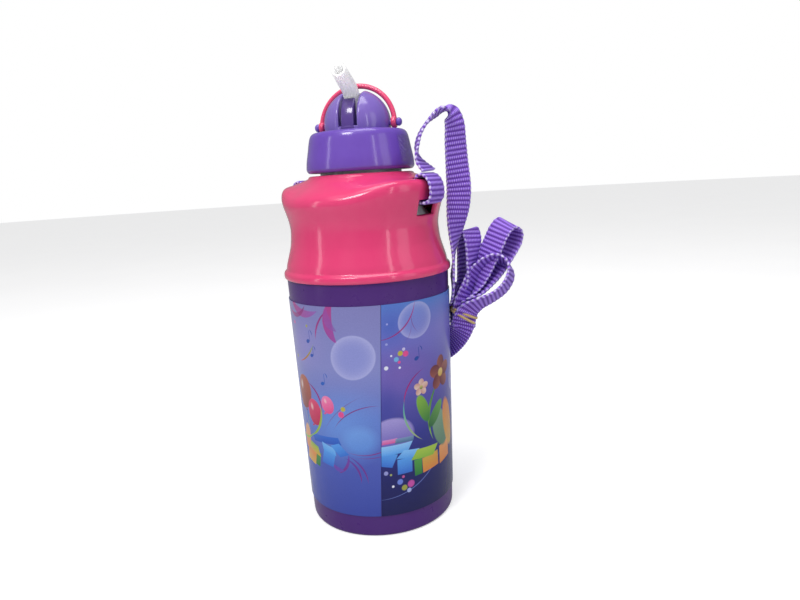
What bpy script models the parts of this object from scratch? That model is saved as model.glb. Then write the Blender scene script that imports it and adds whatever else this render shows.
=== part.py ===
"""Kids' water bottle with a picture cup, a waisted collar, a flip-bail straw cap and a webbing strap.

Lengths are in millimetres and become metres through MM where a vertex is made.
Frame: origin at the middle of the foot, +Z up, the spout drinks towards -Y, the bail hinges on X.
"""
import math

import bmesh
import bpy
from mathutils import Matrix, Vector

MM = 0.001

# ---- driving dimensions, mm -------------------------------------------------------------------
ROUND = 48                    # sides of a round piece
SMALL_ROUND = 16              # sides of a small round piece
GAP = 0.3                     # clearance between touching pieces

FOOT_RADIUS = 34.15           # cup radius at the table, before the corner is rounded
CUP_TAPER = 0.0252            # radius gained per mm of height
CUP_WALL = 1.6
CUP_TOP = 116.6
FOOT_CORNER = 3.0
FOOT_RECESS = 2.0
FOOT_RING_INNER = 27.5

SHEET_LOW, SHEET_HIGH = 10.3, 105.5
SHEET_STAND_OFF = 0.12        # air between the cup and the film
SHEET_THICK = 0.3
SEAM_TOP_ANGLE = math.radians(-65.0)      # the seam slants, because the cup tapers
SEAM_LOW_ANGLE = math.radians(-74.0)

COLLAR_ANGLE = math.radians(-20.0)    # direction of the near strap eye, from +X
COLLAR_WALL = 1.6
COLLAR_SIDES = 48
EYE_FULL, EYE_NONE = 24.0, 70.0       # degrees off the eye where its raised crest starts and ends

NECK_RADIUS = 18.3
NECK_WALL = 1.4
MOUTH_TOP = 173.0
LINER_WALL = 1.2
LINER_FLOOR = 3.4

THREAD_LEAD = 4.0
THREAD_LOW, THREAD_HIGH = 162.0, 171.0
MALE_RIDGE = 1.25             # height of the neck's thread
FEMALE_RIDGE = 1.2
CAP_BORE = 20.0

CAP_TOP = 177.5
CAP_RADIUS = 24.2
CAP_CEILING = 174.9
SOCKET_WALL = 1.6             # round the spout's root, under the cap's top
SOCKET_FLOOR = 172.0
SPIGOT_RADIUS, SPIGOT_BORE = 2.75, 1.7    # the stub that the straw pushes on to
SPIGOT_LOW = 160.5

PIVOT_Z = 180.3               # the bail's hinge line
DOME_RADIUS = 14.9
SLOT_HALF = 4.15
SLOT_BACK = 5.0               # the slot runs from the dome's front to this y
RIB_HALF = 2.75
RIB_SUNK = 0.7                # the rib's face lies this far inside the dome

SPOUT_Y = -5.0
SPOUT_OUTER, SPOUT_INNER = 3.5, 2.2
SPOUT_LEAN = math.radians(64.0)       # the tip leans this far forward of upright
BEND_RADIUS = 8.0
BEND_LOW = 188.6
SPOUT_REACH = 12.0
FOLD_Y, FOLD_Z = -8.5, 190.5          # where the spout's outer part folds down

BAIL_RADIUS = 16.9
BAIL_THICK = 2.4
BAIL_REST = math.radians(-8.0)
EYE_DISC_RADIUS = 2.45
EYE_DISC_INNER, EYE_DISC_OUTER = 15.7, 17.9
PIN_RADIUS = 1.1
PIN_HOLE = 1.35
PIN_HEAD_RADIUS = 1.7
PIN_END = 11.0                # the pins reach in to this x

WEB_WIDTH = 11.0
WEB_THICK = 1.2


# ---- helpers ----------------------------------------------------------------------------------
def clear_scene():
    for obj in list(bpy.data.objects):
        bpy.data.objects.remove(obj, do_unlink=True)


def plastic(name, colour, roughness=0.25, metallic=0.0):
    mat = bpy.data.materials.new(name)
    mat.use_nodes = True
    shader = mat.node_tree.nodes["Principled BSDF"]
    shader.inputs["Base Color"].default_value = (*colour, 1.0)
    shader.inputs["Roughness"].default_value = roughness
    shader.inputs["Metallic"].default_value = metallic
    return mat


def add_object(name, bm, mat, sharp=35.0):
    """Turn a bmesh in millimetres into a named object in metres, smooth where it is round."""
    bmesh.ops.scale(bm, vec=(MM, MM, MM), verts=bm.verts)
    bmesh.ops.recalc_face_normals(bm, faces=bm.faces)
    mesh = bpy.data.meshes.new(name)
    bm.to_mesh(mesh)
    bm.free()
    mesh.materials.append(mat)
    mesh.shade_smooth()
    mesh.set_sharp_from_angle(angle=math.radians(sharp))
    obj = bpy.data.objects.new(name, mesh)
    bpy.context.scene.collection.objects.link(obj)
    return obj


def grid_solid(rings, closed_rings=True):
    """Skin a list of equal closed loops; closed_rings joins the last loop to the first."""
    bm = bmesh.new()
    loops = [[bm.verts.new(point) for point in ring] for ring in rings]
    count = len(loops[0])
    last = len(loops) if closed_rings else len(loops) - 1
    for i in range(last):
        lower, upper = loops[i], loops[(i + 1) % len(loops)]
        for j in range(count):
            k = (j + 1) % count
            bm.faces.new((lower[j], lower[k], upper[k], upper[j]))
    if not closed_rings:
        bm.faces.new(list(reversed(loops[0])))
        bm.faces.new(loops[-1])
    return bm


def turned(profile, sides=ROUND, centre=(0.0, 0.0), floored=False):
    """Turn a (radius, height) profile about an upright axis.

    A closed section stays off the axis; a floored one has its first and last rings capped.
    """
    rings = []
    for radius, height in profile:
        ring = []
        for j in range(sides):
            angle = 2 * math.pi * j / sides
            ring.append((centre[0] + radius * math.cos(angle),
                         centre[1] + radius * math.sin(angle), height))
        rings.append(ring)
    return grid_solid(rings, closed_rings=not floored)


def arc(centre, radius, start, end, steps):
    """Points of an arc in a profile, angles in degrees from the outward direction."""
    points = []
    for i in range(steps + 1):
        angle = math.radians(start + (end - start) * i / steps)
        points.append((centre[0] + radius * math.cos(angle), centre[1] + radius * math.sin(angle)))
    return points


def smoothstep(value):
    value = min(1.0, max(0.0, value))
    return value * value * (3 - 2 * value)


def smooth_curve(places, sides, step):
    """Read points, about a step apart, and their side directions from a curve through places."""
    ends = places[0] == places[-1]
    before_first = places[-2] if ends else 2 * places[0] - places[1]
    after_last = places[1] if ends else 2 * places[-1] - places[-2]
    padded = [before_first] + places + [after_last]
    centres, across = [], []
    for i in range(len(places) - 1):
        before, start, end, after = padded[i:i + 4]
        pieces = max(1, round((end - start).length / step))
        for j in range(pieces):
            t = j / pieces
            centres.append(0.5 * (2 * start + (end - before) * t
                                  + (2 * before - 5 * start + 4 * end - after) * t ** 2
                                  + (3 * start - before - 3 * end + after) * t ** 3))
            across.append(sides[i].lerp(sides[i + 1], t))
    centres.append(places[-1])
    across.append(sides[-1])
    return centres, across


def webbing(route, step=4.0, width=WEB_WIDTH, thick=WEB_THICK, closed=False):
    """A flat strap along a route of (place, direction of its width)."""
    places = [Vector(point) for point, across in route]
    acrosses = [Vector(across) for point, across in route]
    if closed:
        places.append(places[0])
        acrosses.append(acrosses[0])
    centres, sides = smooth_curve(places, acrosses, step)
    if closed:
        centres.pop()
        sides.pop()
    rings = []
    total = len(centres)
    for i, place in enumerate(centres):
        if closed:
            along = (centres[(i + 1) % total] - centres[i - 1]).normalized()
        else:
            along = (centres[min(i + 1, total - 1)] - centres[max(i - 1, 0)]).normalized()
        side = (sides[i] - along * sides[i].dot(along)).normalized()
        face = along.cross(side)
        half_width, half_thick = side * width / 2, face * thick / 2
        rings.append([place - half_width - half_thick, place + half_width - half_thick,
                      place + half_width + half_thick, place - half_width + half_thick])
    return grid_solid(rings, closed_rings=closed)


def cylinder_between(start, end, radius, sides=SMALL_ROUND):
    """A closed cylinder from start to end."""
    start, end = Vector(start), Vector(end)
    bm = bmesh.new()
    bmesh.ops.create_cone(bm, cap_ends=True, segments=sides, radius1=radius, radius2=radius,
                          depth=(end - start).length)
    turn = (end - start).to_track_quat("Z", "Y").to_matrix().to_4x4()
    bmesh.ops.transform(bm, matrix=Matrix.Translation((start + end) / 2) @ turn, verts=bm.verts)
    return bm


def box(low, high):
    low, high = Vector(low), Vector(high)
    bm = bmesh.new()
    bmesh.ops.create_cube(bm, size=1.0)
    bmesh.ops.scale(bm, vec=high - low, verts=bm.verts)
    bmesh.ops.translate(bm, vec=(low + high) / 2, verts=bm.verts)
    return bm


def prism_x(outline, half_width):
    """Extrude a (y, z) outline from -half_width to +half_width along X."""
    bm = bmesh.new()
    face = bm.faces.new([bm.verts.new((-half_width, y, z)) for y, z in outline])
    extruded = bmesh.ops.extrude_face_region(bm, geom=[face])
    moved = [item for item in extruded["geom"] if isinstance(item, bmesh.types.BMVert)]
    bmesh.ops.translate(bm, vec=(2 * half_width, 0, 0), verts=moved)
    return bm


def boolean(obj, bm, operation, mat):
    """Cut from, or add to, an object with a hidden helper object."""
    helper = add_object(f"{obj.name}_helper", bm, mat)
    helper.hide_render = True
    helper.display_type = "WIRE"
    modifier = obj.modifiers.new(helper.name, "BOOLEAN")
    modifier.operation = operation
    modifier.object = helper
    return helper


def cup_radius(height):
    return FOOT_RADIUS + CUP_TAPER * height


# ---- the body: cup, picture film, collar, inner bottle ------------------------------------------
def make_outer_cup(mat):
    low = cup_radius(0.0)
    corner = arc((low - FOOT_CORNER, FOOT_CORNER), FOOT_CORNER, -90, 0, 4)
    inner_low = FOOT_RECESS + CUP_WALL
    profile = [(0.01, FOOT_RECESS), (FOOT_RING_INNER - 1.0, FOOT_RECESS), (FOOT_RING_INNER, 0.0)]
    profile += corner
    profile += [(cup_radius(60.0), 60.0), (cup_radius(CUP_TOP), CUP_TOP),
                (cup_radius(CUP_TOP) - CUP_WALL, CUP_TOP), (cup_radius(60.0) - CUP_WALL, 60.0),
                (cup_radius(inner_low + 2.0) - CUP_WALL, inner_low + 2.0),
                (cup_radius(inner_low) - CUP_WALL - 1.5, inner_low), (0.01, inner_low)]
    return add_object("outer_cup", turned(profile, floored=True), mat)


def make_picture_sheet(mat):
    """The printed film, wrapped once round the cup with its ends meeting at an upright seam."""
    seam_gap = 0.2 / FOOT_RADIUS
    inner_low = cup_radius(SHEET_LOW) + SHEET_STAND_OFF
    inner_high = cup_radius(SHEET_HIGH) + SHEET_STAND_OFF
    rings = []
    for j in range(ROUND + 1):
        around = seam_gap / 2 + (2 * math.pi - seam_gap) * j / ROUND
        low, high = SEAM_LOW_ANGLE + around, SEAM_TOP_ANGLE + around
        ring = []
        for radius, angle, height in ((inner_low, low, SHEET_LOW),
                                      (inner_low + SHEET_THICK, low, SHEET_LOW),
                                      (inner_high + SHEET_THICK, high, SHEET_HIGH),
                                      (inner_high, high, SHEET_HIGH)):
            ring.append((radius * math.cos(angle), radius * math.sin(angle), height))
        rings.append(ring)
    return add_object("picture_sheet", grid_solid(rings, closed_rings=False), mat)


# The collar's outer outline away from its eyes, and at an eye, from the bead up to the lip.
COLLAR_FOOT = [(37.35, 114.7), (37.9, 114.6), (38.15, 115.3), (38.15, 117.2), (37.7, 118.0),
               (36.9, 118.4)]
COLLAR_FRONT = [(36.5, 121.0), (35.4, 124.6), (34.3, 128.6), (33.75, 132.5), (33.6, 136.0),
                (33.9, 139.5), (34.6, 142.6), (35.3, 145.2), (35.5, 147.3), (34.6, 149.7),
                (32.2, 151.9), (29.0, 154.0), (26.0, 156.0), (23.9, 157.9)]
COLLAR_EYE = [(36.5, 121.0), (35.4, 124.6), (34.3, 128.6), (33.8, 132.5), (33.6, 136.0),
              (34.2, 140.0), (35.2, 143.6), (36.3, 147.4), (36.9, 150.8), (36.6, 153.4),
              (35.2, 154.9), (31.0, 156.0), (27.0, 157.2), (23.9, 158.1)]
COLLAR_LIP = [(23.4, 158.9), (21.9, 158.9)]


def inset(outline, distance):
    """Move an outline that runs up the outside of a wall towards the wall's inner side."""
    moved = []
    for i, (radius, height) in enumerate(outline):
        before = outline[max(i - 1, 0)]
        after = outline[min(i + 1, len(outline) - 1)]
        dr, dz = after[0] - before[0], after[1] - before[1]
        length = math.hypot(dr, dz)
        moved.append((radius - distance * dz / length, height + distance * dr / length))
    return moved


def collar_outline(share):
    """The closed wall section; share is 0 away from the eyes and 1 at an eye."""
    shoulder = [(f[0] + (e[0] - f[0]) * share, f[1] + (e[1] - f[1]) * share)
                for f, e in zip(COLLAR_FRONT, COLLAR_EYE)]
    inner = list(reversed(inset(shoulder, COLLAR_WALL)))
    skirt = [(34.7, 118.6), (33.7, 116.8), (33.7, 110.6), (35.0, 110.6), (35.0, 116.9),
             (37.35, 116.9)]
    return COLLAR_FOOT + shoulder + COLLAR_LIP + [(21.9, 157.4)] + inner + skirt


def make_collar(mat):
    sides = COLLAR_SIDES
    rings = []
    for j in range(sides):
        angle = 2 * math.pi * j / sides
        off_eye = math.degrees(math.acos(min(1.0, abs(math.cos(angle)))))
        share = smoothstep((EYE_NONE - off_eye) / (EYE_NONE - EYE_FULL))
        turn = angle + COLLAR_ANGLE
        rings.append([(r * math.cos(turn), r * math.sin(turn), z)
                      for r, z in collar_outline(share)])
    collar = add_object("collar", grid_solid(rings), mat)
    turn_all = Matrix.Rotation(COLLAR_ANGLE, 4, "Z")
    for side in (0.0, math.pi):
        turn = turn_all @ Matrix.Rotation(side, 4, "Z")
        for low, high in (((31.0, -6.7, 140.0), (42.0, 6.7, 147.0)),
                          ((30.8, -6.7, 150.0), (33.6, 6.7, 165.0))):
            cutter = box(low, high)
            bmesh.ops.transform(cutter, matrix=turn, verts=cutter.verts)
            boolean(collar, cutter, "DIFFERENCE", mat)
    return collar


def ridge(offset, crest_half, base_half):
    """Height, 0 to 1, of a thread ridge at an axial distance from its middle."""
    distance = abs((offset + THREAD_LEAD / 2) % THREAD_LEAD - THREAD_LEAD / 2)
    return min(1.0, max(0.0, (base_half - distance) / (base_half - crest_half)))


def thread_rows(base_radius, height, phase, fade=1.2, step=0.75):
    """Rings of a helical ridge: positive height stands out, negative stands in."""
    rows = round((THREAD_HIGH - THREAD_LOW) / step)
    rings = []
    for i in range(rows + 1):
        z = THREAD_LOW + (THREAD_HIGH - THREAD_LOW) * i / rows
        end_fade = min(1.0, (z - THREAD_LOW) / fade, (THREAD_HIGH - z) / fade)
        ring = []
        for j in range(ROUND):
            angle = 2 * math.pi * j / ROUND
            offset = z - THREAD_LEAD * angle / (2 * math.pi) - phase
            radius = base_radius + height * ridge(offset, 0.45, 1.1) * end_fade
            ring.append((radius * math.cos(angle), radius * math.sin(angle), z))
        rings.append(ring)
    return rings


def circle_ring(radius, height):
    return [(radius * math.cos(2 * math.pi * j / ROUND),
             radius * math.sin(2 * math.pi * j / ROUND), height) for j in range(ROUND)]


def make_inner_bottle(mat):
    """The drinking bottle that hangs inside the cup, with a threaded neck."""
    def body(height):
        return cup_radius(height) - CUP_WALL - 0.9

    bore = NECK_RADIUS - NECK_WALL
    floor = LINER_FLOOR + FOOT_RECESS - 1.0
    outside = [(0.01, floor), (body(floor) - 4.0, floor), (body(floor) - 1.0, floor + 1.2),
               (body(floor + 4.0), floor + 4.0), (body(70.0), 70.0), (body(100.0), 100.0),
               (33.2, 108.0), (31.0, 116.0), (31.0, 134.0), (30.0, 139.0), (27.5, 143.5),
               (24.0, 147.3), (20.5, 150.3), (NECK_RADIUS, 153.5)]
    inside = [(NECK_RADIUS - NECK_WALL, MOUTH_TOP), (bore, 153.5), (19.2, 149.8),
              (22.9, 146.3), (26.4, 142.6), (28.8, 138.6), (29.8, 134.0), (29.8, 116.0),
              (32.0, 108.0), (body(100.0) - LINER_WALL, 100.0), (body(70.0) - LINER_WALL, 70.0),
              (body(floor + 5.0) - LINER_WALL, floor + 5.0),
              (body(floor) - 4.5, floor + LINER_WALL), (0.01, floor + LINER_WALL)]
    rings = [circle_ring(r, z) for r, z in outside]
    rings += thread_rows(NECK_RADIUS, MALE_RIDGE, 0.0)
    rings += [circle_ring(NECK_RADIUS, MOUTH_TOP)]
    rings += [circle_ring(r, z) for r, z in inside]
    return add_object("inner_bottle", grid_solid(rings, closed_rings=False), mat)


# ---- the cap ------------------------------------------------------------------------------------
def make_screw_cap(mat):
    outer = [(22.0, 160.2), (23.6, 160.35), (CAP_RADIUS, 161.7), (23.95, 165.0), (23.0, 170.0),
             (22.4, 173.0), (21.6, 175.5), (20.9, 176.7), (19.6, 177.4), (18.5, CAP_TOP)]
    rings = [circle_ring(0.01, CAP_CEILING)]
    rings += [circle_ring(CAP_BORE, CAP_CEILING)]
    rings += list(reversed(thread_rows(CAP_BORE, -FEMALE_RIDGE, THREAD_LEAD / 2)))
    rings += [circle_ring(CAP_BORE + 0.4, 160.9)]
    rings += [circle_ring(r, z) for r, z in outer]
    rings += [circle_ring(0.01, CAP_TOP)]
    cap = add_object("screw_cap", grid_solid(rings, closed_rings=False), mat)
    socket = (0.0, SPOUT_Y)
    boss = turned([(SPOUT_OUTER + SOCKET_WALL, CAP_CEILING + 0.5),
                   (SPOUT_OUTER + SOCKET_WALL, 170.5), (SPIGOT_RADIUS, 169.9),
                   (SPIGOT_RADIUS, 162.0), (SPIGOT_RADIUS - 0.25, SPIGOT_LOW)],
                  SMALL_ROUND * 2, socket, floored=True)
    boolean(cap, boss, "UNION", mat)
    bore = turned([(SPIGOT_BORE, SPIGOT_LOW - 2.5), (SPIGOT_BORE, SOCKET_FLOOR),
                   (SPOUT_OUTER + GAP, SOCKET_FLOOR), (SPOUT_OUTER + GAP, CAP_TOP + 1.5)],
                  SMALL_ROUND * 2, socket, floored=True)
    boolean(cap, bore, "DIFFERENCE", mat)
    return cap


def make_cap_seal(mat):
    profile = [(15.4, 173.35), (19.2, 173.35), (19.2, 174.55), (15.4, 174.55)]
    return add_object("cap_seal", turned(profile), mat)


def make_spout_dome(mat):
    """A round dome with a fore-and-aft slot; a rib at the slot's front kinks the spout."""
    foot = CAP_TOP + GAP
    top = PIVOT_Z + DOME_RADIUS
    sphere = arc((0.0, PIVOT_Z), DOME_RADIUS, 0, 88, 12)
    profile = [(0.01, foot), (DOME_RADIUS, foot)] + sphere + [(0.01, top)]
    dome = add_object("spout_dome", turned(profile, floored=True), mat)
    slot_floor = foot + 1.2
    slot = prism_x([(-DOME_RADIUS - 2, slot_floor), (SLOT_BACK, slot_floor),
                    (SLOT_BACK, top + 2), (-DOME_RADIUS - 2, top + 2)], SLOT_HALF)
    boolean(dome, slot, "DIFFERENCE", mat)
    rib_reach = DOME_RADIUS - RIB_SUNK
    under_bend = BEND_RADIUS - SPOUT_OUTER - GAP
    rib = [(SPOUT_Y - SPOUT_OUTER - GAP, slot_floor - 0.6)]
    rib += arc((SPOUT_Y - BEND_RADIUS, BEND_LOW), under_bend, 0, 31, 3)
    rib += [(-y, z) for y, z in arc((0.0, PIVOT_Z), rib_reach, 46, 0, 5)]
    rib.append((-rib_reach, slot_floor - 0.6))
    boolean(dome, prism_x(rib, RIB_HALF), "UNION", mat)
    well = cylinder_between((0, SPOUT_Y, foot - 1), (0, SPOUT_Y, slot_floor + 1), SPOUT_OUTER + GAP,
                            SMALL_ROUND * 2)
    boolean(dome, well, "DIFFERENCE", mat)
    for side in (-1, 1):
        pin_hole = cylinder_between((side * (PIN_END - 0.5), 0, PIVOT_Z),
                                    (side * (DOME_RADIUS + 1), 0, PIVOT_Z), PIN_HOLE)
        boolean(dome, pin_hole, "DIFFERENCE", mat)
    return dome


def make_bail_pin(name, side, mat):
    """A pin with a round head: radius against distance along its own axis."""
    head = EYE_DISC_OUTER + 0.2
    profile = [(0.01, PIN_END), (PIN_RADIUS, PIN_END), (PIN_RADIUS, head),
               (PIN_HEAD_RADIUS - 0.2, head),
               (PIN_HEAD_RADIUS, head + 0.6), (PIN_HEAD_RADIUS - 0.3, head + 1.6),
               (0.9, head + 2.1), (0.01, head + 2.2)]
    bm = turned(profile, SMALL_ROUND, floored=True)
    bmesh.ops.transform(bm, matrix=Matrix.Rotation(side * math.pi / 2, 4, "Y"), verts=bm.verts)
    pin = add_object(name, bm, mat)
    pin.location = (0, 0, PIVOT_Z * MM)
    return pin


def make_bail(mat):
    """The handle over the dome, built upright about its hinge line and then leant back."""
    rings = []
    steps = 32
    lowest = math.radians(4.0)
    for i in range(steps + 1):
        angle = lowest + (math.pi - 2 * lowest) * i / steps
        ring = []
        for j in range(10):
            turn = 2 * math.pi * j / 10
            radius = BAIL_RADIUS + BAIL_THICK / 2 * math.cos(turn)
            ring.append((radius * math.cos(angle), BAIL_THICK / 2 * math.sin(turn),
                         radius * math.sin(angle)))
        rings.append(ring)
    bail = add_object("bail", grid_solid(rings, closed_rings=False), mat)
    for side in (-1, 1):
        disc = cylinder_between((side * EYE_DISC_INNER, 0, 0), (side * EYE_DISC_OUTER, 0, 0),
                                EYE_DISC_RADIUS, 24)
        helper = boolean(bail, disc, "UNION", mat)
        helper.parent = bail
        hole = cylinder_between((side * (EYE_DISC_INNER - 1), 0, 0),
                                (side * (EYE_DISC_OUTER + 1), 0, 0), PIN_HOLE)
        helper = boolean(bail, hole, "DIFFERENCE", mat)
        helper.parent = bail
    bail.location = (0, 0, PIVOT_Z * MM)
    bail.rotation_euler = (BAIL_REST, 0, 0)
    return bail


def tube_along(centres, normals, outer, inner, sides):
    """A pipe with open ends: the outer wall up, over the rim, and the inner wall back."""
    def ring(place, across, radius):
        side = Vector((1, 0, 0))
        return [place + side * radius * math.cos(2 * math.pi * j / sides)
                + across * radius * math.sin(2 * math.pi * j / sides) for j in range(sides)]

    rings = [ring(c, n, outer) for c, n in zip(centres, normals)]
    rings += [ring(c, n, inner) for c, n in reversed(list(zip(centres, normals)))]
    return grid_solid(rings)


def make_spout_root(mat):
    heights = (172.3, 177.0, BEND_LOW - 2 * GAP)
    centres = [Vector((0, SPOUT_Y, z)) for z in heights]
    bm = tube_along(centres, [Vector((0, 1, 0))] * len(heights), SPOUT_OUTER, SPOUT_INNER, 20)
    return add_object("spout_root", bm, mat)


def make_spout(mat):
    """The spout above its root: a bend forward and a straight drinking end."""
    centres, normals = [], []
    steps = 6
    for i in range(steps + 1):
        lean = SPOUT_LEAN * i / steps
        centres.append(Vector((0, SPOUT_Y - BEND_RADIUS * (1 - math.cos(lean)),
                               BEND_LOW + BEND_RADIUS * math.sin(lean))))
        normals.append(Vector((0, math.cos(lean), math.sin(lean))))
    tip = centres[-1] + SPOUT_REACH * Vector((0, -math.sin(SPOUT_LEAN), math.cos(SPOUT_LEAN)))
    centres.append(tip)
    normals.append(normals[-1])
    fold = Vector((0, FOLD_Y, FOLD_Z))
    bm = tube_along([c - fold for c in centres], normals, SPOUT_OUTER, SPOUT_INNER, 20)
    spout = add_object("spout", bm, mat)
    spout.location = fold * MM
    return spout


def make_straw_tube(mat):
    heights = (169.5, 9.5)
    centres = [Vector((0, SPOUT_Y, z)) for z in heights]
    bm = tube_along(centres, [Vector((0, 1, 0))] * 2, 4.0, 3.05, 16)
    return add_object("straw_tube", bm, mat)


# ---- the strap ----------------------------------------------------------------------------------
RADIAL = Vector((math.cos(COLLAR_ANGLE), math.sin(COLLAR_ANGLE), 0))
TANGENT = Vector((-math.sin(COLLAR_ANGLE), math.cos(COLLAR_ANGLE), 0))

# The band round an eye's crest: out through the wall hole, up, over and back in at the roof.
EYE_BAND = [(34.0, 145.4), (37.6, 145.6), (39.3, 147.6), (39.6, 150.8), (38.8, 154.0),
            (36.8, 156.4), (34.2, 157.0), (32.3, 155.2), (31.9, 151.2), (32.4, 147.2)]


def make_eye_loop(name, side, mat):
    route = [(RADIAL * side * r + Vector((0, 0, z)), tuple(TANGENT)) for r, z in EYE_BAND]
    return add_object(name, webbing(route, step=3.0, closed=True), mat)


# Where the strap runs after the near eye, and the way its width points there.
ARCH_ROUTE = [((33.6, -11.6, 158.6), (0.34, 0.94, 0.0)), ((30.3, -10.8, 162.4), (0.1, 0.99, 0.0)),
              ((28.7, -10.0, 167.4), (-0.3, 0.95, 0.0)), ((29.9, -9.0, 173.4), (-0.32, 0.95, 0.0)),
              ((33.6, -7.3, 179.0), (-0.25, 0.97, 0.0)), ((38.2, -5.1, 182.6), (0.1, 0.99, 0.0)),
              ((42.0, -3.0, 182.4), (0.45, 0.89, 0.0)), ((43.6, -1.5, 177.6), (0.6, 0.8, 0.0)),
              ((43.5, -0.1, 170.0), (0.7, 0.7, 0.0)), ((43.5, 1.4, 161.0), (0.8, 0.6, 0.0)),
              ((43.6, 3.0, 151.0), (0.93, 0.36, 0.0)), ((43.0, 4.0, 144.0), (0.9, 0.43, 0.0)),
              ((41.6, 4.8, 135.0), (0.6, 0.8, 0.0)), ((39.9, 5.9, 124.0), (0.0, 1.0, 0.0)),
              ((39.1, 6.6, 116.0), (-0.2, 0.98, 0.0)), ((38.2, 7.3, 108.0), (-0.25, 0.97, 0.0))]

TAIL_ROUTE = [((41.4, 14.0, 79.6), (0.9, 0.3, -0.1)), ((38.6, 18.2, 74.6), (0.55, 0.2, -0.7)),
              ((32.6, 25.8, 69.6), (0.1, 0.1, -0.95)), ((22.6, 34.0, 66.0), (0.1, 0.1, -0.96)),
              ((10.0, 39.8, 65.0), (0.0, 0.0, -1.0)), ((-4.0, 41.0, 68.0), (-0.2, 0.0, -0.97)),
              ((-17.4, 37.8, 77.0), (-0.5, -0.3, -0.8)), ((-27.6, 31.4, 90.0), (-0.5, -0.6, -0.6)),
              ((-34.2, 25.2, 104.0), (-0.5, -0.8, -0.3)), ((-38.2, 19.4, 118.0), (-0.4, -0.9, 0.0)),
              ((-39.2, 16.2, 131.0), (-0.34, -0.94, 0.0)), ((-38.7, 14.2, 140.0), (-0.34, -0.94, 0.0)),
              ((-38.8, 14.25, 146.0), (-0.34, -0.94, 0.0)), ((-38.8, 14.25, 151.0), (-0.34, -0.94, 0.0))]

HANK_DEPTH = 11.5
HANK_OUTLINE = [(39.9, 88.0), (41.0, 80.5), (46.5, 80.5), (49.0, 88.0), (49.0, 95.5),
                (58.5, 97.5), (66.0, 104.5), (69.0, 114.0), (71.8, 124.0), (72.0, 131.5),
                (68.5, 136.5), (60.5, 137.0), (48.0, 133.0), (45.5, 128.0), (43.2, 114.0),
                (42.0, 106.5), (39.9, 105.5), (39.9, 95.5)]
HANK_TURN = math.radians(18.5)
TIE_HEIGHT = 91.8


def make_hank(mat):
    """The envelope of the folded strap: one flat solid with a narrow waist at its tie."""
    bm = prism_x(HANK_OUTLINE, HANK_DEPTH / 2)
    turn = Matrix.Rotation(HANK_TURN - math.pi / 2, 4, "Z")
    bmesh.ops.transform(bm, matrix=turn, verts=bm.verts)
    return add_object("strap_hank", bm, mat)


def make_tie(mat):
    """The rubber band round the hank's waist."""
    waist = [x for x, z in HANK_OUTLINE if abs(z - TIE_HEIGHT) < 4.0]
    low, high = min(waist) - GAP, max(waist) + GAP
    rings = []
    for reach, height in ((0.0, -1.4), (0.0, 1.4), (1.2, 1.4), (1.2, -1.4)):
        half = HANK_DEPTH / 2 + GAP + reach
        rings.append([(x, y, TIE_HEIGHT + height) for x, y in
                      ((low - reach, -half), (high + reach, -half),
                       (high + reach, half), (low - reach, half))])
    bm = grid_solid(rings)
    bmesh.ops.transform(bm, matrix=Matrix.Rotation(HANK_TURN, 4, "Z"), verts=bm.verts)
    return add_object("strap_tie", bm, mat)


# ---- assembly -----------------------------------------------------------------------------------
def main():
    clear_scene()
    cup_purple = plastic("cup_purple", (0.09, 0.035, 0.2), 0.3)
    make_outer_cup(cup_purple)
    make_picture_sheet(plastic("printed_film", (0.3, 0.35, 0.75), 0.2))
    make_collar(plastic("collar_pink", (0.8, 0.08, 0.25), 0.2))
    make_inner_bottle(plastic("liner_clear", (0.8, 0.85, 0.9), 0.3))
    make_cap_seal(plastic("seal_white", (0.85, 0.85, 0.82), 0.6))
    cap_purple = plastic("cap_purple", (0.2, 0.1, 0.55), 0.25)
    make_screw_cap(cap_purple)
    make_spout_dome(plastic("dome_purple", (0.22, 0.11, 0.58), 0.25))
    pin_purple = plastic("pin_purple", (0.18, 0.08, 0.5), 0.25)
    make_bail_pin("bail_pin_left", -1, pin_purple)
    make_bail_pin("bail_pin_right", 1, pin_purple)
    make_bail(plastic("bail_pink", (0.85, 0.08, 0.22), 0.2))
    silicone = plastic("silicone_white", (0.9, 0.9, 0.9), 0.4)
    make_spout_root(silicone)
    make_spout(silicone)
    make_straw_tube(plastic("straw_clear", (0.9, 0.92, 0.95), 0.3))
    webbing_purple = plastic("webbing_purple", (0.2, 0.08, 0.6), 0.7)
    make_eye_loop("strap_eye_loop_right", 1, webbing_purple)
    make_eye_loop("strap_eye_loop_left", -1, webbing_purple)
    add_object("strap_arch", webbing(ARCH_ROUTE), webbing_purple)
    make_hank(webbing_purple)
    make_tie(plastic("tie_gold", (0.45, 0.3, 0.1), 0.5))
    add_object("strap_tail", webbing(TAIL_ROUTE), webbing_purple)


main()
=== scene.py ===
"""Kids' water bottle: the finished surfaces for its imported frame.

Shapes are built in millimetres in the frame's own axes and become metres as each piece is finished.
The spout drinks towards -Y, the bail hinges on X and the strap hangs at the collar's near eye.
"""

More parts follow.
